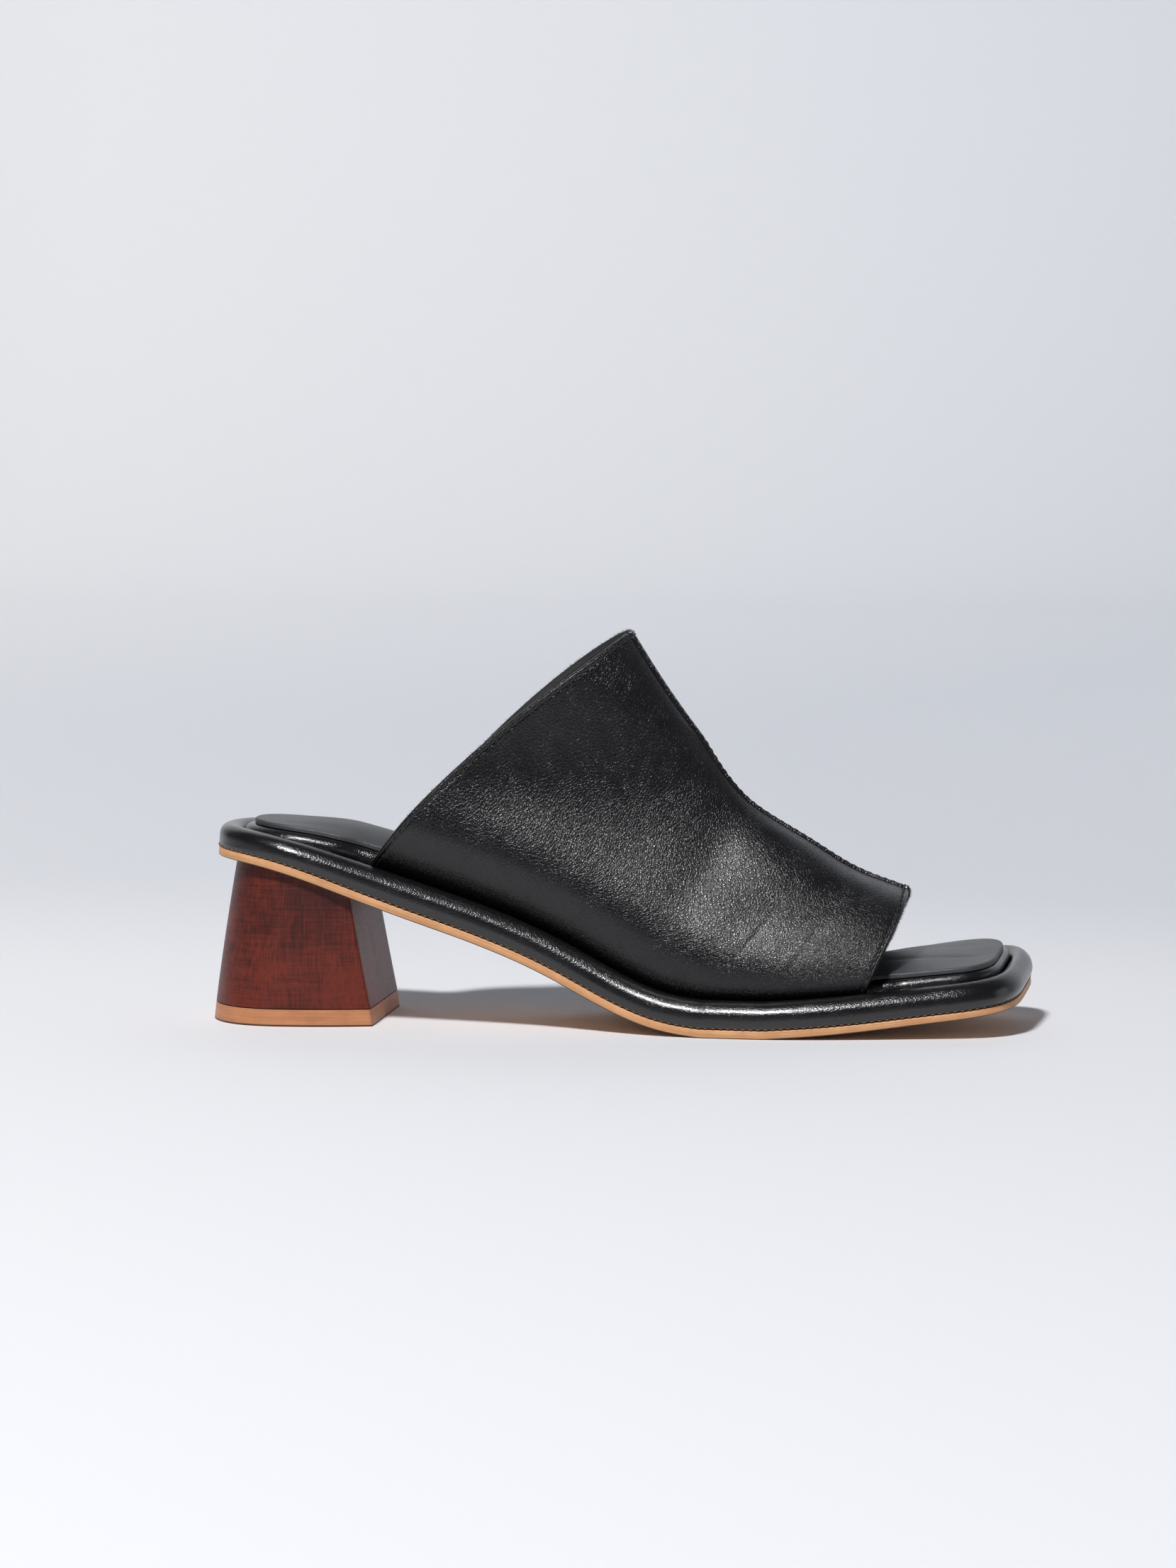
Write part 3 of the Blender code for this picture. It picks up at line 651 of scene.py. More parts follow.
def thread_material(name, colour, rough):
    material, tree, shader = new_material(name)
    where = object_coordinates(tree, (6000.0, 6000.0, 6000.0))
    strand = noise(tree, where, 1.0, 2.0, 0.6)
    pale = tuple(2.2 * channel for channel in colour)
    uneven = mixed(tree, strand, rough - 0.1, rough + 0.1)
    dress(tree, shader, mixed(tree, strand, colour, pale, "RGBA"), uneven)
    bump(tree, strand, 0.5, 0.05 * MM, shader)
    return material


# Colours that several materials share.
BLACK = (0.0040, 0.0038, 0.0046)
WORN_BLACK = (0.0075, 0.0072, 0.0085)
# Painted shade for the dark foot of cut edges; on the top piece also its darker tip.
EDGE_FOOT_SHADE_AND_TIP = (0.030, 0.014, 0.008)
WOOD_FLECK = (0.030, 0.006, 0.004)
WOOD_SPAN = 50.0 * MM
PORE_SIZE = 0.35 * MM
PORE_DEPTH = 0.04 * MM

# Pebbled leathers: grain, its turn and stretch, roughness, depth and specular level.
UPPER_GRAIN = (0.66 * MM, 0.7, 1.4, 0.20, 0.074 * MM, 0.55)
RIM_GRAIN = (0.60 * MM, 0.1, 1.4, 0.155, 0.030 * MM, 0.8)
CUSHION_GRAIN = (0.55 * MM, 0.2, 1.3, 0.155, 0.036 * MM, 0.8)

# Two shades of each other material, its roughness, and its specular level or its band's height.
SOCK = ((0.036, 0.037, 0.041), (0.052, 0.053, 0.059), 0.44, 0.7)
LINING = ((0.016, 0.015, 0.015), (0.026, 0.025, 0.025), 0.55, 0.5)
TAN = ((0.74, 0.405, 0.200), (0.54, 0.260, 0.110), 0.50, 0.38)
TIP = ((0.58, 0.255, 0.118), (0.43, 0.172, 0.072), 0.45, 0.22)
WOOD = ((0.042, 0.0055, 0.0035), (0.150, 0.021, 0.0105), 0.42)


def make_materials():
    return {
        "upper": pebbled_leather("black_pebbled", *UPPER_GRAIN),
        "rim": pebbled_leather("black_rim", *RIM_GRAIN),
        "footbed": pebbled_leather("black_cushion", *CUSHION_GRAIN),
        "sock": smooth_leather("black_smooth", *SOCK),
        "lining": smooth_leather("black_lining", *LINING),
        "tan": edge_leather("tan_sole", *TAN),
        "wood": stained_wood("red_wood", *WOOD),
        "top_piece": edge_leather("brown_tip", *TIP),
        "thread": thread_material("thread", (0.012, 0.012, 0.013), 0.55),
        "brown_thread": thread_material("welt_thread", (0.100, 0.062, 0.040), 0.6),
    }


# Sole

# Caps use coordinates a metre away from the edges', so that bands on an edge stay off them.
CAP_SHIFT = 1.0

way = Round()


def length_round(points):
    """Distance along a closed ring, with one more value than points, for the closing face."""
    steps = np.linalg.norm(np.roll(points, -1, 0) - points, axis=1)
    return running(steps)


def rings(patches, levels):
    """Closed rings; each level is a depth inwards and a height above the underside."""
    layers = []
    for depth, above in levels:
        along, side = way.ring(depth)
        height = above(along) if callable(above) else np.full(way.count, float(above))
        layers.append((along, side, height))
    points = np.stack([on_sole(*layer) for layer in layers])
    steps = np.linalg.norm(np.diff(points, axis=0), axis=2).mean(1)
    upwards = running(steps)
    around = length_round(points[0])
    coordinates = np.stack(np.broadcast_arrays(around[None, :], upwards[:, None]), -1)
    patches.grid(points, coordinates, closed=True)
    return layers


def end_fade(along):
    from_end = np.minimum(along - RIM_WIDTH, SOLE_LENGTH - RIM_WIDTH - along)
    return smooth_step(from_end / HEEL_ROUND)


def across_ring(ring, columns):
    """Lines from every point of one half of a ring to its partner on the other half."""
    count = len(ring)
    first = np.arange(0, count // 2 + 1)
    last = (count - first) % count
    share = np.linspace(0.0, 1.0, columns + 1)[None, :, None]
    return mix(ring[first][:, None], ring[last][:, None], share)


def cap(patches, layer, columns, crown=None, relief=None):
    """Close a ring across the sole, with an arched crown and a relief in metres."""
    along, side, above = np.moveaxis(across_ring(np.stack(layer, -1), columns), -1, 0)
    share = np.linspace(0.0, 1.0, columns + 1)[None, :]
    if crown:
        above = above + crown(along) * (1.0 - (2.0 * share - 1.0) ** 2) * end_fade(along)
    if relief:
        above = above + relief(along, side) * 4.0 * share * (1.0 - share)
    points = on_sole(along, side, above)
    patches.grid(points, np.stack([along, side + CAP_SHIFT], -1))


def make_outsole(materials):
    patches = Patches()
    bottom = OUTSOLE_BEVEL
    levels = [
        (bottom, 0.0),
        (0.45 * bottom, 0.10 * bottom),
        (0.12 * bottom, 0.45 * bottom),
        (0.0, bottom),
    ]
    for part in (0.25, 0.5, 0.75, 0.93):
        levels.append((0.0, lambda along, part=part: mix(bottom, outsole_thickness(along), part)))
    levels.append((0.15 * MM, outsole_thickness))
    layers = rings(patches, levels)
    cap(patches, layers[0], 20)
    cap(patches, layers[-1], 4)
    return patches.build("outsole_leather", [materials["tan"]], "tan_leather")


def rim_section():
    """The rim's section as three curves over its own length, finer than the table."""
    rows = [(float(i), *row) for i, row in enumerate(RIM_SECTION)]
    place_at = np.linspace(0.0, len(rows) - 1.0, 30)
    return np.stack([curve(rows, k)(place_at) for k in (1, 2, 3)], 1)


def make_rim(materials):
    patches = Patches()
    levels = []
    for inwards, bulge, height in rim_section():
        levels.append((
            lambda along, inwards=inwards, bulge=bulge:
                rim_width(along) * inwards - RIM_BULGE * bulge * bulge_share(along),
            lambda along, height=height: rim_base(along) + rim_height(along) * height,
        ))
    levels.append((rim_width, tray_top))
    layers = rings(patches, levels)
    cap(patches, layers[0], 4)
    cap(patches, layers[-1], 4)
    rim = patches.build("rim_leather", [materials["rim"]], "rim_leather")
    return rim


def make_footbed(materials):
    patches = Patches()

    def level(inwards, drop, base=None):
        def depth(along):
            return footbed_inset(along) + inwards * np.minimum(FOOTBED_ROUND, sock_setback(along))

        def above(along):
            rounding = np.minimum(FOOTBED_ROUND, sock_setback(along))
            if base:
                return base(along) + drop * rounding
            return footbed_height(along) - drop * rounding

        return depth, above

    levels = [level(0.2, 0.0, tray_floor), level(0.0, 0.2, tray_floor)]
    for i in range(11):
        turn = 0.5 * math.pi * i / 10
        levels.append(level(1.0 - math.cos(turn), 1.0 - math.sin(turn)))
    layers = rings(patches, levels)
    cap(patches, layers[0], 4)
    cap(patches, layers[-1], 28, crown=footbed_crown)
    cushion = patches.build("footbed_cushion", [materials["footbed"]], "footbed_leather")
    return cushion


def trough(along, side, start, end, width, depth):
    """A soft trough along a straight line of the sole, fading out at both of its ends."""
    run = np.array(end) - np.array(start)
    length = np.linalg.norm(run)
    run = run / length
    ahead = (along / MM - start[0]) * run[0] + (side / MM - start[1]) * run[1]
    aside = (side / MM - start[1]) * run[0] - (along / MM - start[0]) * run[1]
    fade = smooth_step(ahead / (0.3 * length)) * smooth_step((length - ahead) / (0.3 * length))
    return -depth * MM * fade * np.exp(-(aside / width) ** 2)


# Pressed lines and soft waves of the sock, in mm: start and end on the sole, width, depth.
SOCK_LINES = (
    ((207.0, -9.0), (243.0, -4.0), 2.2, 0.50),
    ((10.0, -12.0), (44.0, -13.0), 3.0, 0.35),
    ((208.0, 12.0), (240.0, 15.0), 3.5, 0.30),
)


def sock_relief(along, side):
    return sum(trough(along, side, *line) for line in SOCK_LINES)


def make_sock(materials):
    patches = Patches()

    def level(inwards, height):
        return (
            lambda along: footbed_inset(along) + sock_setback(along) + inwards,
            lambda along: footbed_height(along) + TOUCH_GAP + height,
        )

    edge = 0.45 * SOCK_THICKNESS
    levels = [level(0.0, 0.0), level(0.0, 0.5 * (SOCK_THICKNESS - edge))]
    for i in range(7):
        turn = 0.5 * math.pi * i / 6
        levels.append(level(edge * (1.0 - math.cos(turn)), SOCK_THICKNESS - edge * (1.0 - math.sin(turn))))
    layers = rings(patches, levels)
    cap(patches, layers[0], 8, crown=footbed_crown)
    cap(patches, layers[-1], 48, crown=footbed_crown, relief=sock_relief)
    sock = patches.build("sock_cover", [materials["sock"]], "sock_leather")
    return sock


# Upper

def foot_line(share, side, inwards, above):
    """The upper's foot in the groove, from the collar (0) to the toe opening (1)."""
    lag = np.where(side > 0.0, TOE_FOOT_LAG, 0.0)
    along = mix(COLLAR_FOOT, toe_foot() - lag, share)
    depth = rim_width(along) + TOUCH_GAP + inwards
    width = half_width(along, side) - depth * slanted(along, side)
    return on_sole(along, side * width, above(along))


def crest_point(share):
    vamp_at = SOLE_LENGTH - VAMP_SETBACK
    peak_z = underside(PEAK_AT) + PEAK_HEIGHT
    vamp_z = underside(vamp_at) + VAMP_HEIGHT
    along = mix(PEAK_AT, vamp_at, share)
    height = mix(vamp_z, peak_z, crest_share(share))
    return np.stack([along, np.full_like(along, CREST_SIDE), height], -1)


def upper_point(share, turn):
    """The upper's outer face: share from collar to toe, turn from -1 over 0 (crest) to 1."""
    share, turn = np.broadcast_arrays(np.asarray(share, float), np.asarray(turn, float))
    side = np.where(turn < 0.0, LITTLE, BIG)
    raised = 1.0 - np.abs(turn)
    angle = 0.5 * np.pi * np.clip(raised, 0.0, 1.0)
    squareness = mix(COLLAR_SQUARENESS, VAMP_SQUARENESS, share)
    height = np.sin(angle) ** (2.0 / squareness)
    reach = np.maximum(np.cos(angle), 0.0) ** (2.0 / squareness)
    swell = 1.0 + mix(COLLAR_SWELL, TOE_SWELL, share) * (1.0 - np.exp(-height / SWELL_RISE))
    foot = foot_line(share, side, 0.0, groove_height)
    other = foot_line(share, -side, 0.0, groove_height)
    middle = 0.5 * (foot + other)
    middle[..., 0] = np.where(side < 0.0, foot[..., 0], other[..., 0])
    middle[..., 1] = CREST_SIDE
    rise = crest_point(share) - middle
    back = unit(np.stack([-rise[..., 2], np.zeros_like(share), rise[..., 0]], -1))
    outer_bow = COLLAR_BOW_OUTER * bow_outer_share(raised)
    inner_bow = COLLAR_BOW_INNER * bow_inner_share(raised)
    bow = np.where(side < 0.0, outer_bow, inner_bow) * np.clip(1.0 - share, 0.0, 1.0) ** 1.5
    toe_bow = np.where(side < 0.0, TOE_BOW_OUTER, TOE_BOW_INNER) * toe_bow_share(raised)
    bow = bow - toe_bow * np.clip(share, 0.0, 1.0) ** 3.0
    across = (foot - middle) * (reach * swell)[..., None]
    return middle + across + rise * height[..., None] + back * bow[..., None]


def upper_normal(share, turn):
    step = 0.004
    low = np.maximum(share - step, 0.0)
    high = np.minimum(share + step, 1.0)
    left = np.maximum(turn - step, -1.0)
    right = np.minimum(turn + step, 1.0)
    forward = upper_point(high, turn) - upper_point(low, turn)
    across = upper_point(share, right) - upper_point(share, left)
    return unit(np.cross(forward, across))


def turn_per_length(share):
    """How far the turn goes for one metre of surface close to the crest."""
    wide = np.abs(upper_point(share, np.full_like(share, -0.12))[..., 1] - CREST_SIDE)
    return 0.12 / wide


def seam_turn(share):
    return -SEAM_LAP_WIDTH * (1.0 - 0.7 * share) * turn_per_length(share)


# How the flank swells and sinks, in shares of FLANK_DEPTH: share from collar to toe, then at the
# heights above the foot that FLANK_HEIGHTS gives as shares of FLANK_REACH.
FLANK_DEPTH = 4.0 * MM
FLANK_REACH = 90.0 * MM
FLANK_HEIGHTS = (0.0, 0.09, 0.18, 0.27, 0.36, 0.47, 0.60, 0.78, 1.0)
FLANK = (
    (0.0, 0.0, 0.3, 0.7, 0.62, 0.25, -0.15, -0.4, -0.35, 0.0),
    (0.2, 0.0, 0.4, 1.0, 0.95, 0.4, -0.35, -0.8, -0.75, 0.0),
    (0.35, 0.0, 0.35, 0.85, 0.7, 0.1, -0.55, -0.95, -0.8, 0.0),
    (0.5, 0.0, 0.2, 0.5, 0.35, -0.1, -0.55, -0.75, -0.3, 0.0),
    (0.65, 0.0, -0.02, 0.0, -0.3, -0.7, -0.95, -0.65, 0.0, 0.0),
    (0.8, 0.0, -0.15, -0.4, -0.75, -0.9, -0.85, -0.35, 0.0, 0.0),
    (0.95, 0.0, -0.25, -0.5, -0.6, -0.45, -0.2, 0.0, 0.0, 0.0),
    (1.0, 0.0, -0.25, -0.45, -0.52, -0.36, -0.15, 0.0, 0.0, 0.0),
)

# A shallow dent on the little-toe side: share, turn, half length, half width, slant of its long
# axis from the way to the toe, and depth.
DENT = (0.46, -0.45, 26.0 * MM, 8.5 * MM, math.radians(100.0), 0.8 * MM)

# Rows close to an edge and columns close to the seam, by their distance from it.
EDGE_ROWS = MM * np.array([
    0.0, 0.08, 0.2, 0.35, 0.55, 0.8, 1.05, 1.3, 1.5, 1.7, 1.9, 2.1, 2.35, 2.7, 3.2,
])
SEAM_COLUMNS = MM * np.array([
    -1.6, -1.1, -0.7, -0.4, -0.22, -0.1, 0.0, 0.1, 0.22, 0.45, 0.75, 1.05, 1.3, 1.6, 2.0, 2.6, 3.4,
])
UPPER_LENGTH = 130.0 * MM
UPPER_ROWS = 130
SIDE_COLUMNS = 86

# Lap of the seam: how wide its step and its run-out are. Stitches lie beside it.
SEAM_STEP = 0.5 * MM
SEAM_SETTLE = 14.0 * MM
SEAM_STITCH_AT = 1.15 * MM
STITCH_INSET = 1.8 * MM


class Upper:
    """The upper's outer face as a grid, with distances from its edges and its seam."""

    def __init__(self):
        near = EDGE_ROWS / UPPER_LENGTH
        middle = np.linspace(near[-1], 1.0 - near[-1], UPPER_ROWS)[1:-1]
        self.share = share = np.concatenate([near, middle, 1.0 - near[::-1]])
        seam = seam_turn(share)[:, None]
        fine = seam + SEAM_COLUMNS[None, :] * turn_per_length(share)[:, None]
        side = np.linspace(0.0, 1.0, SIDE_COLUMNS)[None, :]
        left = mix(-1.0, fine[:, :1], side[:, :-1])
        right = mix(fine[:, -1:], 1.0, side[:, 1:])
        self.turn = np.concatenate([left, fine, right], 1)
        self.shares = np.broadcast_to(share[:, None], self.turn.shape)
        self.base = upper_point(self.shares, self.turn)
        self.normal = upper_normal(self.shares, self.turn)
        across = np.linalg.norm(np.diff(self.base, axis=1), axis=2)
        arc = np.concatenate([np.zeros((len(share), 1)), np.cumsum(across, 1)], 1)
        seam_column = left.shape[1] + int(np.argmin(np.abs(SEAM_COLUMNS)))
        self.arc = arc - arc[:, seam_column][:, None]
        along = np.linalg.norm(np.diff(self.base, axis=0), axis=2)
        run = np.concatenate([np.zeros((1, self.turn.shape[1])), np.cumsum(along, 0)], 0)
        self.from_collar = run
        self.from_toe = run[-1][None, :] - run
        self.from_foot = np.minimum(arc, arc[:, -1:] - arc)
        self.outer = self.base + self.normal * self.relief()[..., None]

    def relief(self):
        """What stands above or below the plain form: lap, soft forms, pressed lines and rolls."""
        lap = smooth_step(self.arc / SEAM_STEP + 0.5) * (1.0 - smooth_step(self.arc / SEAM_SETTLE))
        lift = SEAM_LAP * lap + self.flank() + self.dent()
        lines = [
            (self.arc - SEAM_STITCH_AT, 0.45 * MM, -0.14 * MM),
            (self.arc + 0.45 * MM, 0.35 * MM, -0.10 * MM),
        ]
        for edge in (self.from_collar, self.from_toe):
            lines.append((edge - STITCH_INSET, 0.45 * MM, -0.16 * MM))
            lines.append((edge - 0.45 * STITCH_INSET, 0.50 * MM, 0.30 * MM))
        for distance, width, height in lines:
            lift = lift + height * np.exp(-(distance / width) ** 2)
        return lift

    def flank(self):
        """The soft swell above the sole and the flatter stretch over it."""
        heights = np.array(FLANK_HEIGHTS) * FLANK_REACH
        columns = np.stack([curve(FLANK, k + 1)(self.share) for k in range(len(heights))], 1)
        lift = np.zeros_like(self.from_foot)
        for i, row in enumerate(columns):
            profile = curve(list(zip(heights, row)), 1)
            lift[i] = profile(np.minimum(self.from_foot[i], FLANK_REACH))
        return FLANK_DEPTH * lift

    def dent(self):
        at, turn, half_length, half_wide, slant, depth = DENT
        centre = upper_point(at, turn)
        ahead = unit(upper_point(at + 0.02, turn) - centre)
        upwards = np.cross(ahead, upper_normal(at, turn))
        upwards = upwards * np.sign(upwards[2])
        x = (self.base - centre) @ ahead
        y = (self.base - centre) @ upwards
        long_way = (x * math.cos(slant) + y * math.sin(slant)) / half_length
        short_way = (y * math.cos(slant) - x * math.sin(slant)) / half_wide
        near_side = self.base[..., 1] - CREST_SIDE < 6.0 * MM
        return np.where(near_side, -depth * np.exp(-long_way ** 2 - short_way ** 2), 0.0)

    def thickness(self):
        """Half the wall's thickness, rounded off at the collar and at the toe opening."""
        full = 0.5 * UPPER_WALL
        part = np.clip(np.minimum(self.from_collar, self.from_toe) / full, 0.0, 1.0)
        return full * np.sqrt(np.maximum(1.0 - (1.0 - part) ** 2, 0.0))

    def at(self, row, column):
        """A point of the finished outer face and its normal, for fractional rows and columns."""
        i = min(int(row), self.outer.shape[0] - 2)
        j = min(int(column), self.outer.shape[1] - 2)
        a, b = row - i, column - j
        corners = (
            (i, j, (1 - a) * (1 - b)), (i + 1, j, a * (1 - b)),
            (i, j + 1, (1 - a) * b), (i + 1, j + 1, a * b),
        )
        point = sum(self.outer[r, c] * w for r, c, w in corners)
        normal = sum(self.normal[r, c] * w for r, c, w in corners)
        return point, unit(normal)


def make_upper(materials, upper):
    patches = Patches()
    half_wall = 0.5 * UPPER_WALL
    middle = upper.outer - upper.normal * half_wall
    half = upper.thickness()[..., None]
    outer = middle + upper.normal * half
    inner = middle - upper.normal * half
    shares = upper.shares[:, 0]
    feet = {}
    for side in (LITTLE, BIG):
        sides = np.full_like(shares, side)
        feet[side] = [
            foot_line(shares, sides, 0.0, tray_floor),
            foot_line(shares, sides, UPPER_WALL, tray_floor),
            foot_line(shares, sides, UPPER_WALL, groove_height),
        ]
    inner[:, 0] = feet[LITTLE][2]
    inner[:, -1] = feet[BIG][2]
    for row in (0, -1):
        inner[row, 0] = outer[row, 0]
        inner[row, -1] = outer[row, -1]
    outer = np.concatenate([feet[LITTLE][0][:, None], outer, feet[BIG][0][:, None]], 1)
    inner = np.concatenate([feet[LITTLE][1][:, None], inner, feet[BIG][1][:, None]], 1)
    for row in (0, -1):
        inner[row, 0] = outer[row, 0]
        inner[row, -1] = outer[row, -1]
    u = np.pad(upper.from_collar, ((0, 0), (1, 1)), mode="edge")
    v = np.pad(upper.arc, ((0, 0), (1, 1)), mode="edge")
    v[:, 0] -= 8.0 * MM
    v[:, -1] += 8.0 * MM
    coordinates = np.stack([u, v], -1)
    patches.grid(outer, coordinates, slot=0)
    patches.grid(inner, coordinates, slot=1)
    for k in (0, -1):
        strip = np.stack([outer[:, k], inner[:, k]], 1)
        patches.grid(strip, coordinates[:, :2], slot=1)
    return patches.build("upper_leather", [materials["upper"], materials["lining"]], "upper_leather",
                         sharp=80.0)


def stitch(mesh, start, end, normal, radius):
    """One thread stitch: a short arch over the surface whose two ends go down into it."""
    run = end - start
    aside = np.cross(normal, unit(run))
    loops = []
    for i in range(STITCH_STEPS + 1):
        share = i / STITCH_STEPS
        arch = math.sin(math.pi * share) ** 0.6 if 0 < i < STITCH_STEPS else 0.0
        centre = start + run * share + normal * radius * (1.15 * arch - 0.25 * (1.0 - arch))
        size = radius * (0.62 + 0.38 * arch)
        loop = []
        for k in range(STITCH_SIDES):
            turn = 2.0 * math.pi * k / STITCH_SIDES
            out = aside * math.cos(turn) + normal * math.sin(turn)
            loop.append(mesh.verts.new(centre + out * size))
        loops.append(loop)
    for first, second in zip(loops, loops[1:]):
        for k in range(STITCH_SIDES):
            after = (k + 1) % STITCH_SIDES
            mesh.faces.new((first[k], first[after], second[after], second[k]))
    mesh.faces.new(loops[0][::-1])
    mesh.faces.new(loops[-1])


def loose_piece(name, mesh, material, slot):
    """A piece made of many small closed solids."""
    bmesh.ops.recalc_face_normals(mesh, faces=mesh.faces[:])
    data = bpy.data.meshes.new(name)
    mesh.to_mesh(data)
    mesh.free()
    data.materials.append(material)
    return place(name, data, slot)


def sew(name, path, normals, pitch, length, radius, material, slot):
    """Stitches at an even pitch along a path of surface points."""
    steps = np.linalg.norm(np.diff(path, axis=0), axis=1)
    run = running(steps)

    def at(distance, rows):
        return np.array([np.interp(distance, run, rows[:, k]) for k in range(3)])

    mesh = bmesh.new()
    count = int(run[-1] / pitch)
    spare = 0.5 * (run[-1] - count * pitch)
    for i in range(count):
        middle = spare + (i + 0.5) * pitch
        first = middle - 0.5 * length
        last = middle + 0.5 * length
        normal = unit(unit(at(first, normals)) + unit(at(last, normals)))
        stitch(mesh, at(first, path) + shoe_origin, at(last, path) + shoe_origin, normal, radius)
    loose_piece(name, mesh, material, slot).data.shade_smooth()


def gathered(found):
    """Points and normals from a list of pairs."""
    points, normals = zip(*found)
    return np.array(points), np.array(normals)


def edge_path(upper, distances):
    """The upper's surface along the stitches of one edge, for every column."""
    found = []
    for column, line in enumerate(distances.T):
        rows = np.arange(len(line))
        if line[0] > line[-1]:
            line, rows = line[::-1], rows[::-1]
        found.append(upper.at(np.interp(STITCH_INSET, line, rows), column))
    return gathered(found)


def seam_path(upper):
    """The upper's surface along the stitches of the centre seam, clear of both edges."""
    rows = len(upper.share)
    found = []
    for row in range(int(0.02 * rows), int(0.98 * rows)):
        column = np.interp(SEAM_STITCH_AT, upper.arc[row], np.arange(upper.arc.shape[1]))
        found.append(upper.at(row, column))
    return gathered(found)


# Stitches: pitch, length and radius of the thread.
EDGE_STITCH = (2.8 * MM, 2.1 * MM, 0.24 * MM)
SEAM_STITCH = (2.6 * MM, 1.8 * MM, 0.14 * MM)
WELT_STITCH = (2.3 * MM, 1.2 * MM, 0.20 * MM)
STITCH_STEPS = 6
STITCH_SIDES = 6


def make_stitches(materials, upper):
    thread = materials["thread"]
    collar = edge_path(upper, upper.from_collar)
    toe = edge_path(upper, upper.from_toe)
    sew("collar_stitches", *collar, *EDGE_STITCH, thread, "upper_leather")
    sew("toe_opening_stitches", *toe, *EDGE_STITCH, thread, "upper_leather")
    sew("seam_stitches", *seam_path(upper), *SEAM_STITCH, thread, "upper_leather")
    sew("welt_stitches", *welt_path(), *WELT_STITCH, materials["brown_thread"], "rim_leather")


def welt_path():
    """Points of the crease between outsole and rim, right round the shoe, facing outwards."""
    along, side = way.ring(0.10 * MM)
    path = on_sole(along, side, outsole_thickness(along) + 0.50 * MM)
    ahead = np.roll(path, -1, 0) - np.roll(path, 1, 0)
    outwards = unit(np.cross(ahead, np.array([0.0, 0.0, 1.0])))
    away = path - path.mean(0)
    outwards = outwards * np.sign(np.sum(outwards * away, axis=1))[:, None]
    return np.concatenate([path, path[:1]]), np.concatenate([outwards, outwards[:1]])


FIBRE_SEED = 11
FIBRES_PER_STEP = 4


def make_raw_edges(materials, upper):
    """Short loose fibres along the cut edges of the upper."""
    draw = random.Random(FIBRE_SEED)
    mesh = bmesh.new()
    for row, inner_row in ((0, 1), (-1, -2)):
        sunk = upper.normal[row] * 0.5 * UPPER_WALL
        line = upper.outer[row] - sunk
        outwards = unit(line - upper.outer[inner_row] + sunk)
        for i in range(FIBRES_PER_STEP * (len(line) - 1)):
            k = int(draw.random() * (len(line) - 1))
            root = mix(line[k], line[k + 1], draw.random())
            normal = upper.normal[row, k]
            root = root + normal * draw.uniform(-0.35, 0.35) * UPPER_WALL
            lean = unit(line[k + 1] - line[k]) * draw.uniform(-0.7, 0.7)
            reach = outwards[k] + lean + normal * draw.uniform(-0.5, 0.5)
            tip = root + reach * draw.uniform(0.10, 0.80) * MM
            aside = unit(np.cross(reach, normal)) * draw.uniform(0.04, 0.09) * MM
            bottom = root - outwards[k] * 0.25 * MM
            points = (bottom + aside, bottom - aside, bottom + normal * 0.08 * MM, tip)
            corners = [mesh.verts.new(point + shoe_origin) for point in points]
            for face in ((0, 1, 2), (0, 1, 3), (1, 2, 3), (2, 0, 3)):
                mesh.faces.new([corners[c] for c in face])
    loose_piece("raw_edges", mesh, materials["thread"], "upper_leather")


# Heel

def heel_section(share):
    """Outline of the heel at a share of the heel rise: from the back round to the back."""
    back = mix(HEEL_BACK_LOW, HEEL_BACK_HIGH, share ** HEEL_FLARE)
    breast = mix(BREAST_LOW, BREAST_HIGH, share)
    widest = 0.5 * mix(HEEL_WIDTH_LOW, HEEL_WIDTH_HIGH, share)
    narrow = 0.5 * mix(BREAST_WIDTH_LOW, BREAST_WIDTH_HIGH, share)
    power = 2.0 / HEEL_BACK_SQUARENESS
    turn = 0.5 * np.pi * np.arange(25) / 24
    flank = np.arange(1, 13) / 12
    corner = 0.5 * np.pi * np.arange(1, 5) / 4
    inside = np.linspace(1.0, 0.0, 12)[1:]
    along = np.concatenate([
        back + HEEL_BACK_ROUND * (1.0 - np.maximum(np.cos(turn), 0.0) ** power),
        mix(back + HEEL_BACK_ROUND, breast - BREAST_CORNER, flank),
        breast - BREAST_CORNER * (1.0 - np.sin(corner)),
        np.full(len(inside), breast),
    ])
    side = np.concatenate([
        widest * np.sin(turn) ** power,
        mix(widest, narrow, flank * flank),
        narrow - BREAST_CORNER * (1.0 - np.cos(corner)),
        (narrow - BREAST_CORNER) * inside,
    ])
    return np.concatenate([along, along[-2:0:-1]]), np.concatenate([-side, side[-2:0:-1]])


def heel_solid(name, levels, material, slot):
    """Rings of heel sections, closed below and above by faces across them."""
    patches = Patches()
    points = []
    for share, height in levels:
        along, side = heel_section(share)
        points.append(np.stack([along, side, height(along)], -1))
    points = np.stack(points)
    around = length_round(points[0])
    upwards = points[:, :, 2].mean(1)
    coordinates = np.stack(np.broadcast_arrays(around[None, :], upwards[:, None]), -1)
    patches.grid(points, coordinates, closed=True)
    for ring in (points[0], points[-1]):
        across = across_ring(ring, 8)
        patches.grid(across, across[..., :2] + CAP_SHIFT)
    return patches.build(name, [material], slot, sharp=35.0)


def make_heel(materials):
    low = TOP_PIECE_HEIGHT + TOUCH_GAP
    levels = []
    for level in np.concatenate([[0.0, 0.004, 0.012], np.linspace(0.03, 0.97, 26), [0.99, 1.0]]):
        share = mix(low / HEEL_RISE, 1.0, level)
        levels.append((share, lambda along, level=level: mix(low, underside(along) - TOUCH_GAP, level)))
    return heel_solid("heel_wood", levels, materials["wood"], "mahogany")


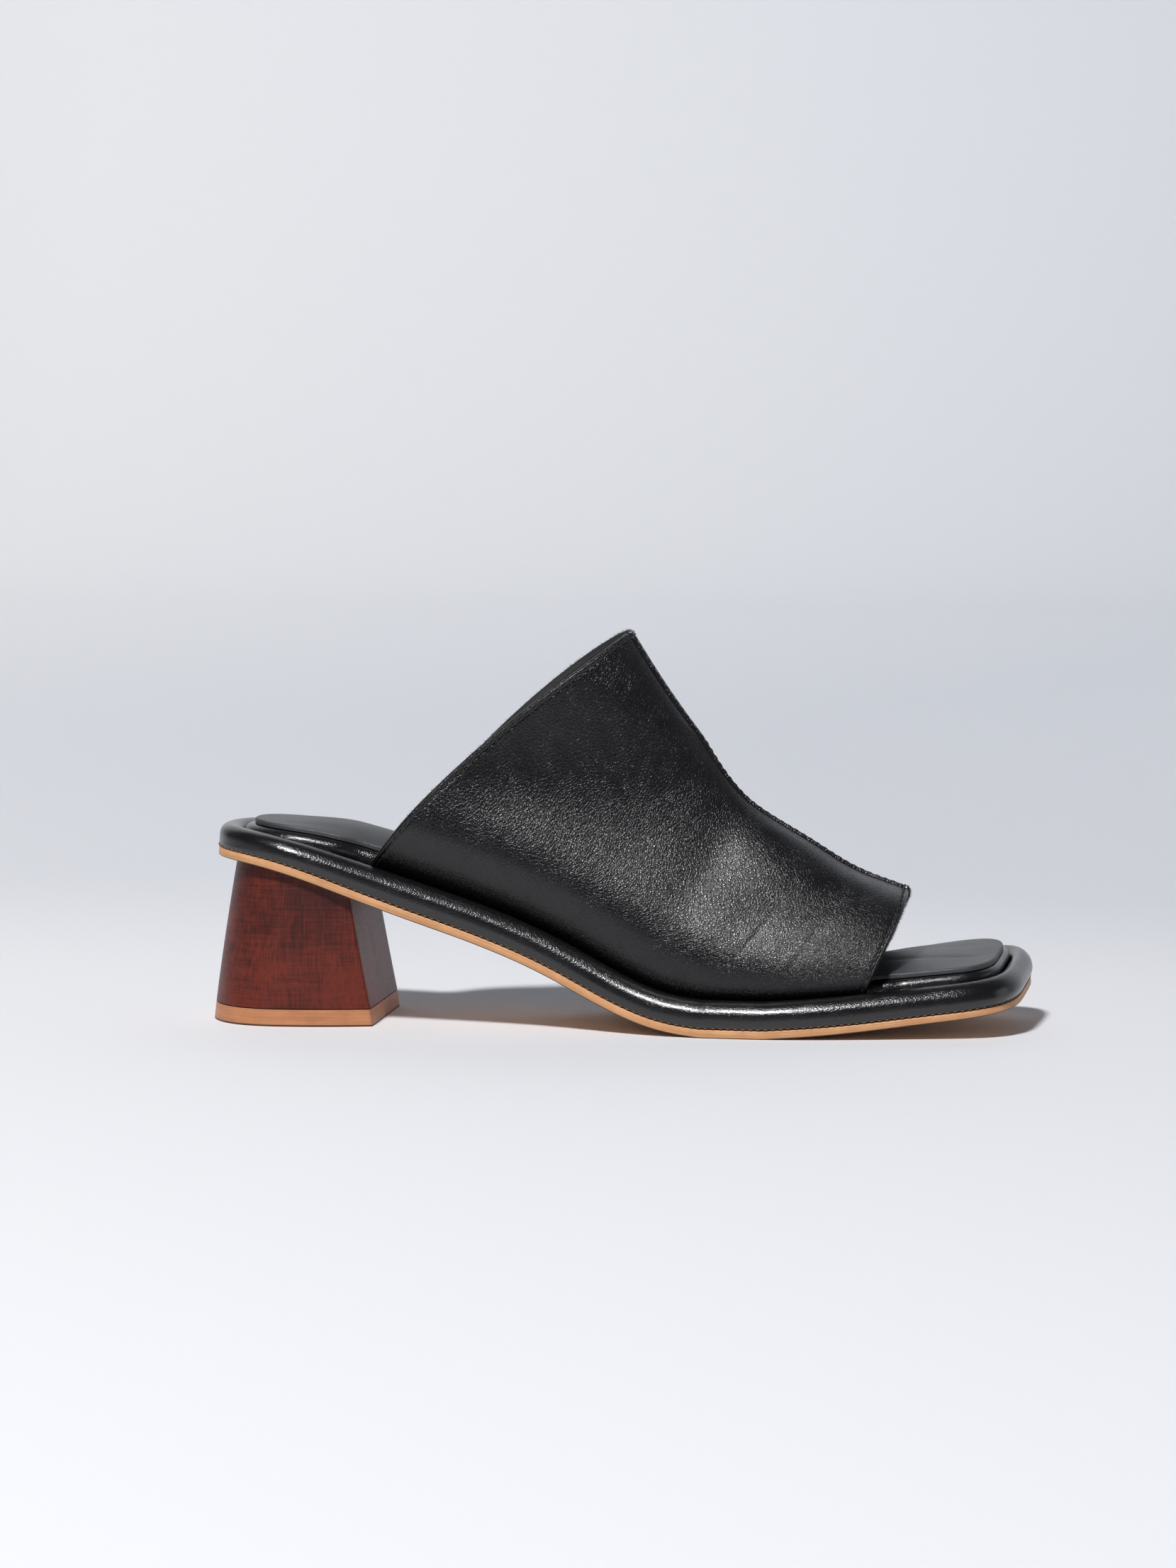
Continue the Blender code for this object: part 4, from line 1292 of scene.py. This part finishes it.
def make_top_piece(materials):
    levels = []
    for level in (0.0, 0.05, 0.2, 0.5, 0.8, 0.95, 1.0):
        height = TOP_PIECE_HEIGHT * level
        levels.append((height / HEEL_RISE, lambda along, height=height: np.full_like(along, height)))
    return heel_solid("heel_top_piece", levels, materials["top_piece"], "top_piece_tan")


# Studio

CAMERA_FROM_SHOE = (358.815 * MM, -1776.817 * MM, 233.364 * MM)
CAMERA_AIM = (115.494 * MM, -0.531 * MM, 73.355 * MM)
LENS = 133.88
SENSOR = 36.0


def make_camera():
    data = bpy.data.cameras.new("camera")
    data.sensor_fit = "AUTO"
    data.sensor_width = SENSOR
    data.lens = LENS
    data.clip_start = 0.05
    data.clip_end = 50.0
    item = add_object("camera", data)
    origin = Vector(shoe_origin)
    item.location = Vector(CAMERA_FROM_SHOE) + origin
    aim = Vector(CAMERA_AIM) + origin - item.location
    item.rotation_euler = aim.to_track_quat("-Z", "Y").to_euler()
    bpy.context.scene.camera = item


# Lights: direction from the point they aim at, distance, size, power, colour and that point.
LIGHT_AIM = (0.0, 0.0, 0.04)
KEY = ((-0.16, -0.57, 0.81), 4.0, 0.60, 162.0, (1.0, 0.985, 0.98))
RIGHT_FILL = ((1.0, 0.15, 0.22), 2.6, 1.6, 4.0, (1.0, 0.96, 0.95))
BACK_WASH = ((0.0, 0.9, 2.4), 2.56, 1.0, 21.5, (1.0, 1.0, 1.0), (0.0, 0.0, 0.0))
BACK_WASH_FACES = (0.0, 1.0, -0.3)

SURROUNDINGS = (0.066, 0.072, 0.085)
DISTANCE = (0.70, 0.72, 0.76)
PAPER = (0.930, 0.938, 0.950)
PAPER_IN_PAINTED_SHADE = (0.68, 0.705, 0.75)


def area_light(name, direction, distance, size, power, colour, aim=LIGHT_AIM):
    data = bpy.data.lights.new(name, "AREA")
    data.shape = "DISK"
    data.size = size
    data.energy = power
    data.color = colour
    item = add_object(name, data)
    way_to = Vector(direction).normalized()
    item.location = Vector(aim) + way_to * distance
    item.rotation_euler = (-way_to).to_track_quat("-Z", "Y").to_euler()
    return item


def make_lights():
    area_light("key", *KEY)
    area_light("right_fill", *RIGHT_FILL)
    wash = area_light("back_wash", *BACK_WASH)
    wash.rotation_euler = Vector(BACK_WASH_FACES).to_track_quat("-Z", "Y").to_euler()
    make_surroundings()


def make_surroundings():
    """Dim soft light from all round, in front of a pale distance."""
    world = bpy.data.worlds.new("studio")
    bpy.context.scene.world = world
    world.use_nodes = True
    tree = world.node_tree
    background = tree.nodes["Background"]
    seen = (node(tree, "ShaderNodeLightPath"), "Is Camera Ray")
    feed(tree, mixed(tree, seen, SURROUNDINGS, DISTANCE, "RGBA"), background, "Color")
    background.inputs["Strength"].default_value = 1.0


def paper_material():
    """Pale paper with painted shade: a little darker behind the shoe and to its right."""
    material, tree, shader = new_material("pale_paper")
    spot = components(tree, object_coordinates(tree, (0.9, 0.3333, 1.0)))
    # Painted shade: the paper is painted darker far behind the shoe and towards its right.
    behind = ramp(tree, (spot, "Y"), ((0.03, 0.0), (0.15, 0.42), (0.36, 0.50), (0.80, 0.18)))
    across = maths(tree, "ADD", (spot, "X"), 0.68)
    painted_shade = maths(tree, "ADD", behind, ramp(tree, across, ((0.0, 0.0), (1.0, 0.80)), smooth=False))
    feed(tree, mixed(tree, painted_shade, PAPER, PAPER_IN_PAINTED_SHADE, "RGBA"), shader, "Base Color")
    shader.inputs["Roughness"].default_value = 0.85
    shader.inputs["Specular IOR Level"].default_value = 0.2
    return material


def make_floor():
    """A wide pale sheet that lies under the shoe and sweeps up far behind it."""
    reach = 4.0
    bend_at = 2.2
    radius = 0.5
    height = 3.5
    profile = [(-reach, 0.0), (0.0, 0.0)]
    for i in range(25):
        turn = 0.5 * math.pi * i / 24
        profile.append((bend_at + radius * math.sin(turn), radius * (1.0 - math.cos(turn))))
    profile.append((bend_at + radius, height))
    data = bpy.data.meshes.new("backdrop")
    points = []
    for y, z in profile:
        points.append((-reach, y, z))
        points.append((reach, y, z))
    faces = [(2 * i, 2 * i + 1, 2 * i + 3, 2 * i + 2) for i in range(len(profile) - 1)]
    data.from_pydata(points, [], faces)
    data.shade_smooth()
    data.materials.append(paper_material())
    item = add_object("backdrop", data)


def main():
    scene = bpy.context.scene
    scene.view_settings.view_transform = "Standard"
    materials = make_materials()
    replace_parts(make_outsole(materials), "outsole")
    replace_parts(make_rim(materials), "midsole_rim")
    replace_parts(make_footbed(materials), "footbed")
    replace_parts(make_sock(materials), "sock")
    upper = Upper()
    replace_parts(make_upper(materials, upper), "upper")
    make_stitches(materials, upper)
    make_raw_edges(materials, upper)
    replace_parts(make_heel(materials), "heel")
    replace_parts(make_top_piece(materials), "top_piece")
    make_floor()
    make_lights()
    make_camera()


main()
